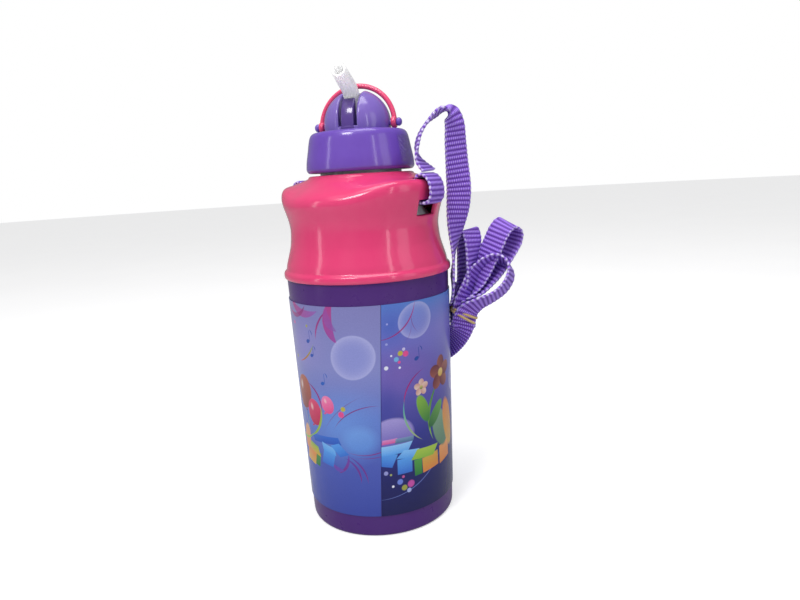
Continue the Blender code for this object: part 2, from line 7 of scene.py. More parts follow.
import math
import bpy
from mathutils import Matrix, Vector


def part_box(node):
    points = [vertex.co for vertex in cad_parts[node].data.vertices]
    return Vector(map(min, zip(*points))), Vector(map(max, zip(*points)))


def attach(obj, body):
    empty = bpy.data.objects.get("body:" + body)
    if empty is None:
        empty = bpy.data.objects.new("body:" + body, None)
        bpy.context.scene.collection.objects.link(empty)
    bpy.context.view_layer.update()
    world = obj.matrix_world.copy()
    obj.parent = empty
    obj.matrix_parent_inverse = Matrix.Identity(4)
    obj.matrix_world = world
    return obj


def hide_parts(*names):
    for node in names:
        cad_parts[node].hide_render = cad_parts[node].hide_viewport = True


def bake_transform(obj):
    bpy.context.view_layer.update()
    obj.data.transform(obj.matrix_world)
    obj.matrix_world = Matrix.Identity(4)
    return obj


bl_info = {
    "name": "Kids Water Bottle",
    "version": (1, 0, 0),
    "blender": (4, 5, 0),
    "location": "View3D > Sidebar > Bottle",
    "description": "Builds the cup, film, collar, cap, spout and strap of a kids' water bottle",
    "category": "Add Mesh",
}

import bmesh
import bpy
from bpy.props import FloatProperty, FloatVectorProperty, PointerProperty
from mathutils import Matrix, Vector

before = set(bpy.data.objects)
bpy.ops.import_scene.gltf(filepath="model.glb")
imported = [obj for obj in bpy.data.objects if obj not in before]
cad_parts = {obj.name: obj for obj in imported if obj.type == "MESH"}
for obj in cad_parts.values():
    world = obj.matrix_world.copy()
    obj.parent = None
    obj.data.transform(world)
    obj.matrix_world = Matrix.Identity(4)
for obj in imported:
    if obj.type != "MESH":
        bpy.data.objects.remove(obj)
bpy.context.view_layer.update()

MM = 0.001
FULL_TURN = 2 * math.pi

# ---- the shapes' own numbers, mm -----------------------------------------------------------
CUP_FOOT_RADIUS = 34.15
CUP_TAPER = 0.0252
CUP_WALL = 1.6
CUP_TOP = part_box("outer_cup")[1].z / MM
SHEET_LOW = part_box("picture_sheet")[0].z / MM
SHEET_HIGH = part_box("picture_sheet")[1].z / MM
SEAM_LOW_ANGLE = math.radians(-74.0)
SEAM_TOP_ANGLE = math.radians(-65.0)
PRINT_PANELS = 4              # the picture's print is laid in this many upright panels
PRINT_WIDTH = 112.8           # the picture repeats twice round the cup
FILM_THICKNESS, FILM_SEAM, FILM_OFF_CUP = 0.3, 0.2, 0.12

EYE_ANGLE = math.radians(-20.0)
EYE_FULL, EYE_NONE = 24.0, 70.0
EYE_COLUMNS = 6               # columns of the collar's mesh each side of an eye that its holes take
COLLAR_STEPS = 192
COLLAR_WALL = 1.6
COLLAR_BEAD = [(36.9, 114.75), (37.6, 114.65), (38.1, 115.2), (38.2, 116.3), (38.0, 117.4),
               (37.4, 118.1), (36.95, 118.7), (36.75, 119.6)]
COLLAR_LIP = [(23.55, 158.7), (23.0, 159.0), (22.3, 158.95), (21.9, 158.5), (21.9, 157.4)]
COLLAR_SKIRT = [(34.7, 118.6), (33.7, 116.8), (33.7, 110.6), (35.0, 110.6), (35.0, 116.6)]
COLLAR_FRONT = [(36.5, 121.0), (35.4, 124.6), (34.3, 128.6), (33.75, 132.5), (33.6, 136.0),
                (33.9, 139.5), (34.6, 142.6), (35.3, 145.2), (35.5, 147.3), (34.6, 149.7),
                (32.2, 151.9), (29.0, 154.0), (26.0, 156.0), (23.9, 157.9)]
COLLAR_EYE = [(36.5, 121.0), (35.4, 124.6), (34.3, 128.6), (33.8, 132.5), (33.6, 136.0),
              (34.2, 140.0), (35.2, 143.6), (36.3, 147.4), (36.9, 150.8), (36.6, 153.4),
              (35.2, 154.9), (31.0, 156.0), (27.0, 157.2), (23.9, 158.1)]

NECK_RADIUS, NECK_BORE = 18.3, 16.9
MOUTH_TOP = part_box("inner_bottle")[1].z / MM
THREAD_LEAD, THREAD_TURNS, THREAD_LOW = 4.0, 2.0, 162.2
CAP_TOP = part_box("screw_cap")[1].z / MM
PIVOT_Z = 180.3
DOME_RADIUS = 14.9
SLOT_HALF, RIB_HALF = 4.15, 2.75
BACK_HALF, BACK_FRONT = SLOT_HALF + 1.3, 5.0    # the wall that closes the slot behind
SPOUT_Y = -5.0
SPOUT_RADIUS, SPOUT_REACH, SPOUT_FOOT = 3.5, 12.0, 172.3
SPOUT_LEAN = math.radians(64.0)
BEND_RADIUS, BEND_LOW = 8.0, 188.6
BAIL_RADIUS = 16.9
BAIL_REST = math.radians(-8.0)
HANK_TURN = math.radians(18.5)
TIE_PLACE = (43.4, 0.2, 91.6)

# The stage, in metres and degrees.
CAMERA_PLACE, CAMERA_PITCH_YAW_ROLL = (0, -0.2858, 0.1552), (10.92, 2.81, -3.45)
CAMERA_LENS, CAMERA_SENSOR = 27.9, 36.0
LIGHT_AIM = Vector((0, 0, 0.1))
LIGHTS = (  # name, place, width and height, power, colour
    ("key", (-0.35, -0.55, 0.85), (0.3, 0.25), 4.6, (1.0, 0.98, 0.96)),
    ("left_strip", (-0.75, -0.25, 0.3), (0.08, 0.6), 0.6, (1.0, 1.0, 1.0)),
    ("right_strip", (0.38, -0.6, 0.3), (0.06, 0.5), 0.4, (1.0, 1.0, 1.0)),
    ("fill", (0.75, -0.5, 0.35), (0.3, 0.7), 1.0, (0.96, 0.97, 1.0)),
    ("top", (0.05, -0.1, 1.0), (0.6, 0.5), 4.2, (1.0, 1.0, 1.0)))
SKY_POWER, SKY_SPREAD, SKY_FROM = 0.65, 60.0, (-0.1, -0.35, 1.0)


# ---- what a user would change ----------------------------------------------------------------
class BottleSizes(bpy.types.PropertyGroup):
    strap_width: FloatProperty(
        name="Strap width", description="Width of the webbing", default=0.011, unit="LENGTH")
    strap_thickness: FloatProperty(
        name="Strap thickness", description="Thickness of the webbing", default=0.0012,
        unit="LENGTH")
    rib_pitch: FloatProperty(
        name="Rib pitch", description="Distance between the webbing's ribs", default=0.002,
        unit="LENGTH")
    rib_height: FloatProperty(
        name="Rib height", description="How far a rib stands out", default=0.00017,
        unit="LENGTH")
    grip_pitch: FloatProperty(
        name="Grip pitch", description="Spacing of the cap's grip diamonds", default=0.0011,
        unit="LENGTH")


def colour_property(name, description, default):
    return FloatVectorProperty(name=name, description=description, subtype="COLOR", size=3,
                               min=0.0, max=1.0, default=default)


class BottleColours(bpy.types.PropertyGroup):
    cup: colour_property("Cup", "Outer cup", (0.055, 0.010, 0.15))
    collar: colour_property("Collar", "Collar with the strap eyes", (0.66, 0.030, 0.145))
    cap: colour_property("Cap", "Screw cap and dome", (0.115, 0.042, 0.40))
    bail: colour_property("Bail", "Handle that pinches the spout", (0.72, 0.045, 0.15))
    spout: colour_property("Spout", "Silicone of the spout", (0.95, 0.95, 0.95))
    strap: colour_property("Strap", "Webbing of the strap", (0.23, 0.062, 0.72))
    tie: colour_property("Tie", "Rubber bands round the folded strap", (0.50, 0.32, 0.08))
    floor: colour_property("Floor", "Studio floor", (0.62, 0.62, 0.63))


# ---- mesh helpers ------------------------------------------------------------------------------
def smooth_object(name, bm, material, sharp):
    """Make a bmesh in millimetres a smooth object in metres."""
    bmesh.ops.scale(bm, vec=(MM, MM, MM), verts=bm.verts)
    mesh = bpy.data.meshes.new(name)
    bm.to_mesh(mesh)
    bm.free()
    mesh.materials.append(material)
    mesh.shade_smooth()
    mesh.set_sharp_from_angle(angle=math.radians(sharp))
    piece = bpy.data.objects.new(name, mesh)
    bpy.context.scene.collection.objects.link(piece)
    return piece


def finished(name, bm, material, body, replaced, sharp=40.0):
    """A smooth piece that rides on its body and takes the place of the frame's nodes."""
    piece = smooth_object(name, bm, material, sharp)
    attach(piece, body)
    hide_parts(*replaced)
    return piece


def tidied(bm, distance=1e-4):
    bmesh.ops.remove_doubles(bm, verts=bm.verts, dist=distance)
    bmesh.ops.recalc_face_normals(bm, faces=bm.faces)
    return bm


def moved(bm, way, verts=None):
    bmesh.ops.translate(bm, vec=way, verts=verts or bm.verts)


def turned(bm, angle, axis, verts=None):
    bmesh.ops.rotate(bm, cent=(0, 0, 0), matrix=Matrix.Rotation(angle, 3, axis),
                     verts=verts or bm.verts)


def spun(bm, geom, steps, axis=(0, 0, 1), angle=FULL_TURN, merge=True, **settings):
    """Spin verts and edges round an axis through the middle, a whole turn unless told."""
    bmesh.ops.spin(bm, geom=geom, cent=(0, 0, 0), axis=axis, angle=angle, steps=steps,
                   use_merge=merge, **settings)


def rounded(bm, edges, size):
    bmesh.ops.bevel(bm, geom=edges, offset=size, offset_type="OFFSET", segments=3, profile=0.5,
                    affect="EDGES", material=-1, clamp_overlap=True)


def circle(bm, segments, radius):
    """A ring's verts, and its edges."""
    verts = bmesh.ops.create_circle(bm, segments=segments, radius=radius)["verts"]
    return verts, list({edge for vert in verts for edge in vert.link_edges})


def verts_in(made):
    return [item for item in made if isinstance(item, bmesh.types.BMVert)]


def take(bm, part):
    """Put a finished part into bm."""
    mesh = bpy.data.meshes.new("part")
    part.to_mesh(mesh)
    part.free()
    bm.from_mesh(mesh)
    bpy.data.meshes.remove(mesh)


def outline_edges(bm, profile, closed, side=1):
    """An outline of (place along X, height) points as verts and edges in the XZ plane."""
    verts = [bm.verts.new((side * x, 0.0, height)) for x, height in profile]
    edges = [bm.edges.new(pair) for pair in zip(verts, verts[1:])]
    if closed:
        edges.append(bm.edges.new((verts[-1], verts[0])))
    return verts + edges


def lathe(profile, steps, closed=False):
    """Spin a (radius, height) outline round the upright axis."""
    bm = bmesh.new()
    spun(bm, outline_edges(bm, profile, closed), steps)
    return tidied(bm)


def flowing(points, pieces=4):
    """More points along a smooth curve through the given ones."""
    points = [Vector(p) for p in points]
    padded = [2 * points[0] - points[1]] + points + [2 * points[-1] - points[-2]]
    found = []
    for i in range(len(points) - 1):
        before, start, end, after = padded[i:i + 4]
        for j in range(pieces):
            t = j / pieces
            found.append(0.5 * (2 * start + (end - before) * t
                                + (2 * before - 5 * start + 4 * end - after) * t ** 2
                                + (3 * start - before - 3 * end + after) * t ** 3))
    found.append(points[-1])
    return found


def eased(outline, radius, pieces):
    """An outline with each inner corner rounded by about radius."""
    points = [Vector(p) for p in outline]
    found = [points[0]]
    for before, corner, after in zip(points, points[1:], points[2:]):
        back, on = before - corner, after - corner
        reach = min(radius, back.length * 0.45, on.length * 0.45)
        start, end = corner + back.normalized() * reach, corner + on.normalized() * reach
        for j in range(pieces + 1):
            t = j / pieces
            found.append((1 - t) ** 2 * start + 2 * t * (1 - t) * corner + t ** 2 * end)
    return [tuple(p) for p in found + [points[-1]]]


def smoothstep(value):
    value = min(1.0, max(0.0, value))
    return value * value * (3 - 2 * value)


def boundary(bm):
    return [edge for edge in bm.edges if edge.is_boundary]


# ---- material helpers --------------------------------------------------------------------------
class Tree:
    """A node tree with short calls: a node by kind and settings, its inputs by name or number."""

    def __init__(self, tree):
        self.tree = tree

    def link(self, value, socket):
        self.tree.links.new(value, socket)

    def feed(self, node, inputs):
        """Give a node's inputs their links and values."""
        for name, value in inputs.items():
            if isinstance(value, bpy.types.NodeSocket):
                self.link(value, node.inputs[name])
            else:
                node.inputs[name].default_value = value
        return node

    def add(self, kind, inputs=None, **settings):
        node = self.tree.nodes.new(kind)
        for name, value in settings.items():
            setattr(node, name, value)
        return self.feed(node, inputs or {})

    def math(self, operation, first, second=0.0, third=0.0, clamp=False):
        return self.add("ShaderNodeMath", {0: first, 1: second, 2: third}, operation=operation,
                        use_clamp=clamp).outputs[0]

    def vector(self, operation, first, second=(0, 0, 0)):
        node = self.add("ShaderNodeVectorMath", {0: first, 1: second}, operation=operation)
        return node.outputs["Value" if operation in ("LENGTH", "DOT_PRODUCT") else "Vector"]

    def part(self, vector, axis):
        return self.vector("DOT_PRODUCT", vector, [(1, 0, 0), (0, 1, 0), (0, 0, 1)][axis])

    def mix(self, factor, first, second):
        return self.add("ShaderNodeMix", {0: factor, 6: first, 7: second},
                        data_type="RGBA").outputs[2]

    def group(self, tree, inputs):
        return self.add("ShaderNodeGroup", inputs, node_tree=tree).outputs

    def object_place(self):
        return self.add("ShaderNodeTexCoord").outputs["Object"]

    def noise(self, place, scale, detail, **inputs):
        return self.add("ShaderNodeTexNoise", {"Vector": place, "Scale": scale,
                                               "Detail": detail, **inputs}).outputs[0]

    def ramp(self, low, high, value):
        """0 at low rising to 1 at high."""
        return self.add("ShaderNodeMapRange", {0: value, 1: low, 2: high}).outputs[0]

    def halved(self, value):
        """A wave between -1 and 1 brought between 0 and 1."""
        return self.math("MULTIPLY_ADD", value, 0.5, 0.5)


def new_group(name, inputs, outputs):
    """A shader node group with named sockets; inputs and outputs are {name: socket type}."""
    group = bpy.data.node_groups.new(name, "ShaderNodeTree")
    for label, kind in inputs.items():
        group.interface.new_socket(label, in_out="INPUT", socket_type=kind)
    for label, kind in outputs.items():
        group.interface.new_socket(label, in_out="OUTPUT", socket_type=kind)
    tree = Tree(group)
    start = tree.add("NodeGroupInput").outputs
    end = tree.add("NodeGroupOutput").inputs
    return group, tree, start, end


VALUE, VECTOR, COLOUR = "NodeSocketFloat", "NodeSocketVector", "NodeSocketColor"


def new_material(name):
    material = bpy.data.materials.new(name)
    material.use_nodes = True
    return material, Tree(material.node_tree), material.node_tree.nodes["Principled BSDF"]


def moulded_skin():
    """Moulded plastic: faint streaks of colour, uneven gloss, fine scuffs and a soft ripple."""
    group = bpy.data.node_groups.get("MouldedSkin")
    if group:
        return group
    group, tree, start, end = new_group(
        "MouldedSkin",
        {"Place": VECTOR, "Colour": COLOUR, "Tint": COLOUR, "Roughness": VALUE, "Ripple": VALUE},
        {"Colour": COLOUR, "Roughness": VALUE, "Normal": VECTOR})
    stretched = tree.vector("MULTIPLY", start["Place"], (1.0, 1.0, 0.35))
    cloud = tree.noise(stretched, 70.0, 3.0)
    fine = tree.noise(start["Place"], 900.0, 2.0)
    scuff = tree.noise(start["Place"], 240.0, 6.0, Roughness=0.7)
    amount = tree.math("MULTIPLY", cloud, 0.55)
    tree.link(tree.mix(amount, start["Colour"], start["Tint"]), end["Colour"])
    marks = tree.math("MULTIPLY", tree.math("SUBTRACT", scuff, 0.5), 0.22)
    tree.link(tree.math("ADD", start["Roughness"], marks, clamp=True), end["Roughness"])
    height = tree.math("ADD", tree.math("MULTIPLY", fine, 0.18), cloud)
    bump = tree.add("ShaderNodeBump", {"Strength": start["Ripple"], "Distance": 0.0006,
                                       "Height": height})
    tree.link(bump.outputs[0], end["Normal"])
    return group


def skinned(tree, colour, tint, roughness, ripple):
    """The outputs of the moulded skin laid on an object's own places."""
    return tree.group(moulded_skin(), {
        "Place": tree.object_place(), "Colour": (*colour, 1), "Tint": (*tint, 1),
        "Roughness": roughness, "Ripple": ripple})


def lighter(colour, share):
    return tuple(c + (1 - c) * share for c in colour)


def plastic(name, colour, tint, roughness, ripple=0.12, coat=0.35, **extra):
    """A glossy moulded plastic."""
    material, tree, shader = new_material(name)
    skin = skinned(tree, colour, tint, roughness, ripple)
    tree.feed(shader, {"Base Color": skin["Colour"], "Roughness": skin["Roughness"],
                       "Normal": skin["Normal"], "Specular IOR Level": 0.3,
                       "Coat Weight": coat * 0.4, "Coat Roughness": 0.06})
    tree.feed(shader, {label.replace("_", " "): value for label, value in extra.items()})
    return material


# ---- the printed film's own marks ---------------------------------------------------------------
def turned_about(tree, start, angle, **settings):
    """A place measured from a mark's centre and turned by its angle."""
    off = tree.vector("SUBTRACT", start["Place"], start["Centre"])
    return tree.add("ShaderNodeVectorRotate", {"Vector": off, "Angle": start[angle]},
                    rotation_type="Z_AXIS", **settings).outputs[0]


def disc_mark():
    """A filled ellipse: 1 inside, fading over Soft at its rim. Place is in mm on the film."""
    group, tree, start, end = new_group(
        "PrintDisc", {"Place": VECTOR, "Centre": VECTOR, "Size": VECTOR, "Turn": VALUE,
                      "Soft": VALUE}, {"Mask": VALUE, "Rim": VALUE, "Height": VALUE})
    turned = turned_about(tree, start, "Turn")
    scaled = tree.vector("DIVIDE", turned, start["Size"])
    far = tree.vector("LENGTH", scaled)
    inside = tree.math("DIVIDE", tree.math("SUBTRACT", 1.0, far), start["Soft"])
    inside = tree.math("MINIMUM", inside, 1.0)
    tree.link(inside, end["Mask"])
    tree.link(tree.math("MULTIPLY", inside, tree.math("POWER", far, 4.0)), end["Rim"])
    up = tree.part(scaled, 1)
    tree.link(tree.halved(up), end["Height"])
    return group


def stroke_mark():
    """A brush stroke along an arc: thick in the middle and pointed at both ends."""
    group, tree, start, end = new_group(
        "PrintStroke", {"Place": VECTOR, "Centre": VECTOR, "Radius": VALUE, "Middle": VALUE,
                        "Half": VALUE, "Thick": VALUE}, {"Mask": VALUE, "Along": VALUE})
    turned = turned_about(tree, start, "Middle", invert=True)
    angle = tree.math("ARCTAN2", tree.part(turned, 1), tree.part(turned, 0))
    along = tree.math("DIVIDE", angle, start["Half"])
    taper = tree.math("SUBTRACT", 1.0, tree.math("MULTIPLY", along, along))
    half = tree.math("MULTIPLY", taper, start["Thick"])
    far = tree.math("ABSOLUTE", tree.math("SUBTRACT", tree.vector("LENGTH", turned),
                                          start["Radius"]))
    edge = tree.math("SUBTRACT", half, far)
    tree.link(tree.math("MINIMUM", tree.math("MULTIPLY", edge, 5.0), 1.0), end["Mask"])
    tree.link(tree.halved(along), end["Along"])
    return group


def block_mark():
    """A leaning box face: 1 inside a parallelogram."""
    group, tree, start, end = new_group(
        "PrintBlock", {"Place": VECTOR, "Centre": VECTOR, "Half Width": VALUE,
                       "Half Height": VALUE, "Lean": VALUE, "Turn": VALUE},
        {"Mask": VALUE, "Height": VALUE})
    turned = turned_about(tree, start, "Turn")
    up = tree.part(turned, 1)
    across = tree.math("SUBTRACT", tree.part(turned, 0), tree.math("MULTIPLY", up, start["Lean"]))
    wide = tree.math("SUBTRACT", start["Half Width"], tree.math("ABSOLUTE", across))
    tall = tree.math("SUBTRACT", start["Half Height"], tree.math("ABSOLUTE", up))
    edge = tree.math("MINIMUM", wide, tall)
    tree.link(tree.math("MINIMUM", tree.math("MULTIPLY", edge, 5.0), 1.0), end["Mask"])
    rise = tree.math("DIVIDE", up, start["Half Height"])
    tree.link(tree.halved(rise), end["Height"])
    return group


# Print colours.
MAGENTA, DEEP_MAGENTA = (0.46, 0.035, 0.20), (0.22, 0.02, 0.16)
PINK, RED, YELLOW = (0.78, 0.08, 0.26), (0.60, 0.02, 0.02), (0.52, 0.46, 0.03)
LIME, GREEN, TEAL = (0.26, 0.50, 0.03), (0.03, 0.2, 0.02), (0.05, 0.42, 0.45)
WHITE, CYAN, BLUE = (0.82, 0.84, 0.95), (0.15, 0.46, 0.80), (0.04, 0.16, 0.62)
SKY, ORANGE, AMBER = (0.10, 0.36, 0.84), (0.75, 0.25, 0.03), (0.66, 0.40, 0.04)
VIOLET = (0.09, 0.055, 0.36)
# The ground's colours from the film's foot to its top, on its pale side and its dark side.
PALE_GROUND = [(0.0, (0.045, 0.07, 0.36)), (0.25, (0.075, 0.11, 0.45)),
               (0.48, (0.13, 0.20, 0.58)), (0.72, (0.25, 0.27, 0.58)), (1.0, (0.23, 0.23, 0.50))]
DARK_GROUND = [(0.0, (0.010, 0.010, 0.06)), (0.2, (0.014, 0.016, 0.11)),
               (0.38, (0.035, 0.04, 0.26)), (0.62, (0.13, 0.11, 0.44)),
               (0.85, (0.17, 0.17, 0.56)), (1.0, (0.10, 0.22, 0.62))]

# The picture, mm from its left edge and from the table. Each row is one mark, the lowest first:
# disc: centre, size, turn in degrees, softness, colour, opacity, top colour
# stroke: arc centre, radius, middle direction, half angle, thickness, colour, opacity, end colour
# block: centre, half size, lean, turn, colour, opacity, top colour
PICTURE = [
    # glows and washes
    ("disc", (95, 52), (24, 20), 0, 0.9, (0.17, 0.38, 0.85), 0.55, None),
    ("disc", (73, 88), (17, 15), 0, 0.9, (0.34, 0.30, 0.66), 0.55, None),
    ("disc", (4, 96), (10, 12), 0, 0.9, (0.07, 0.13, 0.52), 0.75, None),
    ("disc", (10, 76), (22, 12), 0, 0.9, (0.20, 0.12, 0.44), 0.7, None),
    ("disc", (30, 92), (17, 14), 0, 0.9, (0.24, 0.22, 0.62), 0.55, None),
    ("disc", (2, 60), (7, 14), 0, 0.9, (0.05, 0.06, 0.34), 0.6, None),
    ("disc", (55, 70), (16, 30), 0, 0.9, (0.16, 0.17, 0.58), 0.5, None),
    # petals at the top
    ("stroke", (78, 116), 14.5, -103, 44, 1.9, MAGENTA, 0.9, (0.3, 0.12, 0.45)),
    ("stroke", (69.5, 109.5), 9.4, -82, 58, 1.1, MAGENTA, 0.75, DEEP_MAGENTA),
    ("stroke", (100, 90.5), 16.5, 152, 29, 0.55, DEEP_MAGENTA, 0.9, MAGENTA),
    ("stroke", (104.5, 100), 14.4, 184, 43, 2.3, MAGENTA, 0.9, (0.34, 0.06, 0.34)),
    ("stroke", (98.5, 103), 9.0, 204, 40, 1.7, (0.36, 0.07, 0.34), 0.75, (0.24, 0.10, 0.40)),
    # bubbles
    ("bubble", (100.9, 83.6), (9.9, 9.9), (0.30, 0.34, 0.74)),
    ("bubble", (15.2, 97.2), (8.4, 8.0), (0.26, 0.30, 0.70)),
    ("bubble", (48, 64), (7.0, 7.0), (0.24, 0.26, 0.68)),
    # the branch through the bubble
    ("stroke", (-1.5, 106.5), 16.0, -47, 50, 0.42, DEEP_MAGENTA, 0.95, MAGENTA),
    ("stroke", (22, 99), 9.0, 200, 34, 0.25, DEEP_MAGENTA, 0.7, None),
    ("stroke", (4.0, 95), 9.0, -18, 32, 0.2, DEEP_MAGENTA, 0.6, None),
    # tall thin stems that cross the seam
    ("stroke", (110.5, 40), 22.0, 118, 36, 0.35, DEEP_MAGENTA, 0.9, None),
    ("stroke", (121, 30), 40.0, 133, 20, 0.25, DEEP_MAGENTA, 0.7, None),
    ("stroke", (105, 64), 24.5, -83, 28, 0.35, DEEP_MAGENTA, 0.9, None),
    ("stroke", (106, 68), 30.0, -82, 20, 0.25, DEEP_MAGENTA, 0.8, None),
    ("stroke", (92.5, 27), 11.3, 34, 40, 0.6, DEEP_MAGENTA, 0.9, VIOLET),
    ("stroke", (92, 25), 15.0, 36, 34, 0.5, DEEP_MAGENTA, 0.9, VIOLET),
    ("stroke", (89.4, 38), 8.7, -28, 40, 0.8, DEEP_MAGENTA, 0.9, (0.16, 0.06, 0.4)),
    ("stroke", (94.5, 37.5), 6.0, -110, 34, 1.1, (0.2, 0.06, 0.36), 0.85, (0.12, 0.08, 0.46)),
    # the pale hill behind the blocks
    ("disc", (5.0, 47.5), (10.5, 8.6), 0, 0.12, (0.09, 0.06, 0.42), 0.95, (0.42, 0.36, 0.72)),
    ("disc", (103.5, 46), (9.5, 8.0), 0, 0.5, (0.10, 0.32, 0.80), 0.5, (0.22, 0.46, 0.88)),
    # toy blocks, left hand
    ("block", (85.5, 44.6), (8.5, 1.8), -0.4, -4, (0.03, 0.10, 0.50), 1.0, BLUE),
    ("block", (87.2, 36.2), (3.6, 3.6), 0.1, 8, BLUE, 1.0, SKY),
    ("block", (87.6, 40.6), (4.0, 1.7), -0.5, 14, SKY, 1.0, (0.2, 0.5, 0.9)),
    ("block", (93.6, 41.0), (2.5, 3.2), -0.5, -20, BLUE, 1.0, SKY),
    ("block", (79.5, 33.8), (2.1, 3.6), 0.1, 6, GREEN, 1.0, (0.08, 0.32, 0.05)),
    ("block", (73.5, 33.6), (4.4, 3.4), 0.1, 8, AMBER, 1.0, ORANGE),
    ("block", (75.0, 38.8), (6.4, 2.2), -0.6, 12, AMBER, 1.0, LIME),
    ("disc", (70.5, 42.5), (3.6, 6.8), 12, 0.15, ORANGE, 1.0, (0.7, 0.4, 0.2)),
    # toy blocks, right hand
    ("block", (3.6, 45.2), (3.4, 1.1), 0.2, -4, PINK, 0.85, (0.75, 0.3, 0.6)),
    ("block", (10.4, 45.0), (4.4, 1.2), 0.1, 0, (0.05, 0.16, 0.24), 0.9, (0.2, 0.34, 0.5)),
    ("block", (2.6, 36.6), (3.6, 3.2), 0.2, 12, BLUE, 1.0, SKY),
    ("block", (6.0, 41.2), (7.2, 2.2), 0.6, -3, SKY, 1.0, (0.3, 0.6, 0.95)),
    ("block", (10.7, 32.8), (3.6, 3.6), 0.0, -2, BLUE, 1.0, SKY),
    ("block", (12.2, 38.0), (4.0, 2.0), 0.8, 6, SKY, 1.0, (0.24, 0.55, 0.95)),
    ("block", (17.4, 30.6), (2.1, 3.8), 0.0, -4, GREEN, 1.0, (0.09, 0.36, 0.04)),
    ("block", (24.6, 31.0), (5.0, 3.6), 0.0, -6, ORANGE, 1.0, AMBER),
    ("block", (21.4, 36.4), (6.4, 2.4), 0.6, 4, LIME, 1.0, (0.42, 0.60, 0.05)),
    ("block", (35.0, 32.5), (4.4, 4.4), 0.1, -10, ORANGE, 1.0, (0.8, 0.36, 0.1)),
    ("disc", (31.5, 45.0), (5.6, 10.5), -22, 0.12, (0.10, 0.22, 0.10), 0.95, (0.24, 0.42, 0.24)),
    ("disc", (38.5, 45.0), (4.6, 13.5), -16, 0.15, AMBER, 0.95, ORANGE),
    # balloons over the left blocks
    ("stroke", (96, 62), 26.0, 199, 22, 0.25, YELLOW, 0.9, None),
    ("stroke", (60, 55), 15.0, -6, 40, 0.25, LIME, 0.9, None),
    ("balloon", (71.5, 64.5), (6.6, 8.4), 8, (0.24, 0.045, 0.02), (0.46, 0.14, 0.06)),
    ("balloon", (79.5, 56.5), (5.0, 6.4), -14, (0.50, 0.02, 0.06), (0.75, 0.08, 0.16)),
    ("balloon", (88.2, 61.6), (3.4, 4.3), -22, PINK, (0.9, 0.25, 0.45)),
    # flower and leaves over the right blocks
    ("stroke", (45, 52), 22.0, 172, 40, 0.8, GREEN, 1.0, LIME),
    ("disc", (19.8, 57.0), (3.0, 7.6), -24, 0.15, GREEN, 1.0, LIME),
    ("disc", (27.5, 52.5), (3.0, 7.2), 38, 0.15, (0.02, 0.12, 0.02), 1.0, (0.16, 0.42, 0.05)),
    ("flower", (31.0, 70.5), 7.4, (0.13, 0.02, 0.015), (0.34, 0.10, 0.05), AMBER),
    ("flower", (18.4, 67.0), 3.6, (0.62, 0.30, 0.24), (0.80, 0.62, 0.50), GREEN),
    # ribbons
    ("stroke", (73.5, 58.8), 11.2, 34, 50, 0.55, MAGENTA, 1.0, DEEP_MAGENTA),
    ("stroke", (70.5, 57.2), 13.8, -28, 46, 0.75, LIME, 1.0, (0.40, 0.52, 0.04)),
    ("stroke", (68.0, 54.0), 12.4, -80, 40, 0.7, (0.34, 0.52, 0.05), 1.0, LIME),
    ("stroke", (24.0, 62.0), 14.0, 148, 42, 0.45, DEEP_MAGENTA, 1.0, MAGENTA),
    ("stroke", (29.0, 59.6), 19.2, 205, 38, 0.55, TEAL, 1.0, (0.45, 0.5, 0.08)),
    ("stroke", (66.5, 95.5), 17.0, -50, 28, 0.5, RED, 1.0, LIME),
    # music notes
    ("note", (78.6, 89.4), 1.3, (0.04, 0.10, 0.42)),
    ("note", (80.6, 83.2), 1.1, (0.04, 0.10, 0.42)),
    ("note", (86.2, 71.2), 1.2, (0.03, 0.12, 0.5)),
    ("note", (15.8, 80.4), 1.3, (0.02, 0.07, 0.34)),
    ("note", (52, 92), 1.3, (0.03, 0.08, 0.4)),
]
# loose dots: place, radius, colour
DOTS = [
    (96.1, 60.5, 1.25, YELLOW), (95.1, 57.9, 1.6, PINK), (78.3, 96.2, 0.75, (0.4, 0.42, 0.1)),
    (67.5, 96.4, 0.9, (0.75, 0.1, 0.3)), (67.4, 80.6, 0.9, (0.35, 0.35, 0.12)),
    (8.1, 84.0, 1.3, YELLOW), (10.5, 83.5, 1.45, PINK), (9.6, 85.6, 0.8, (0.6, 0.55, 0.8)),
    (6.4, 81.6, 1.2, (0.18, 0.45, 0.75)), (7.7, 80.2, 0.7, PINK), (2.1, 78.3, 1.0, WHITE),
    (7.9, 77.8, 0.6, WHITE), (4.2, 83.4, 0.5, WHITE), (2.2, 88.6, 0.6, (0.35, 0.38, 0.75)),
    (2.4, 97.2, 0.5, (0.35, 0.38, 0.75)), (8.4, 25.7, 1.5, (0.16, 0.24, 0.72)),
    (13.7, 23.8, 1.9, (0.55, 0.08, 0.36)), (10.5, 22.6, 1.5, (0.35, 0.36, 0.04)),
    (12.8, 20.9, 1.2, (0.4, 0.46, 0.8)), (2.0, 30.6, 1.1, (0.3, 0.32, 0.66)),
    (4.2, 29.6, 0.6, (0.35, 0.4, 0.1)), (9.9, 27.9, 0.75, (0.55, 0.1, 0.3)),
    (5.2, 24.0, 0.65, WHITE), (50, 44, 1.4, YELLOW), (52.6, 42.4, 1.6, PINK),
    (50.4, 40.2, 1.0, CYAN),
]
PICTURE += [("dot", (x, y), radius, colour) for x, y, radius, colour in DOTS]
GLINTS = 0.5                  # how strongly the bubbles' crescents show


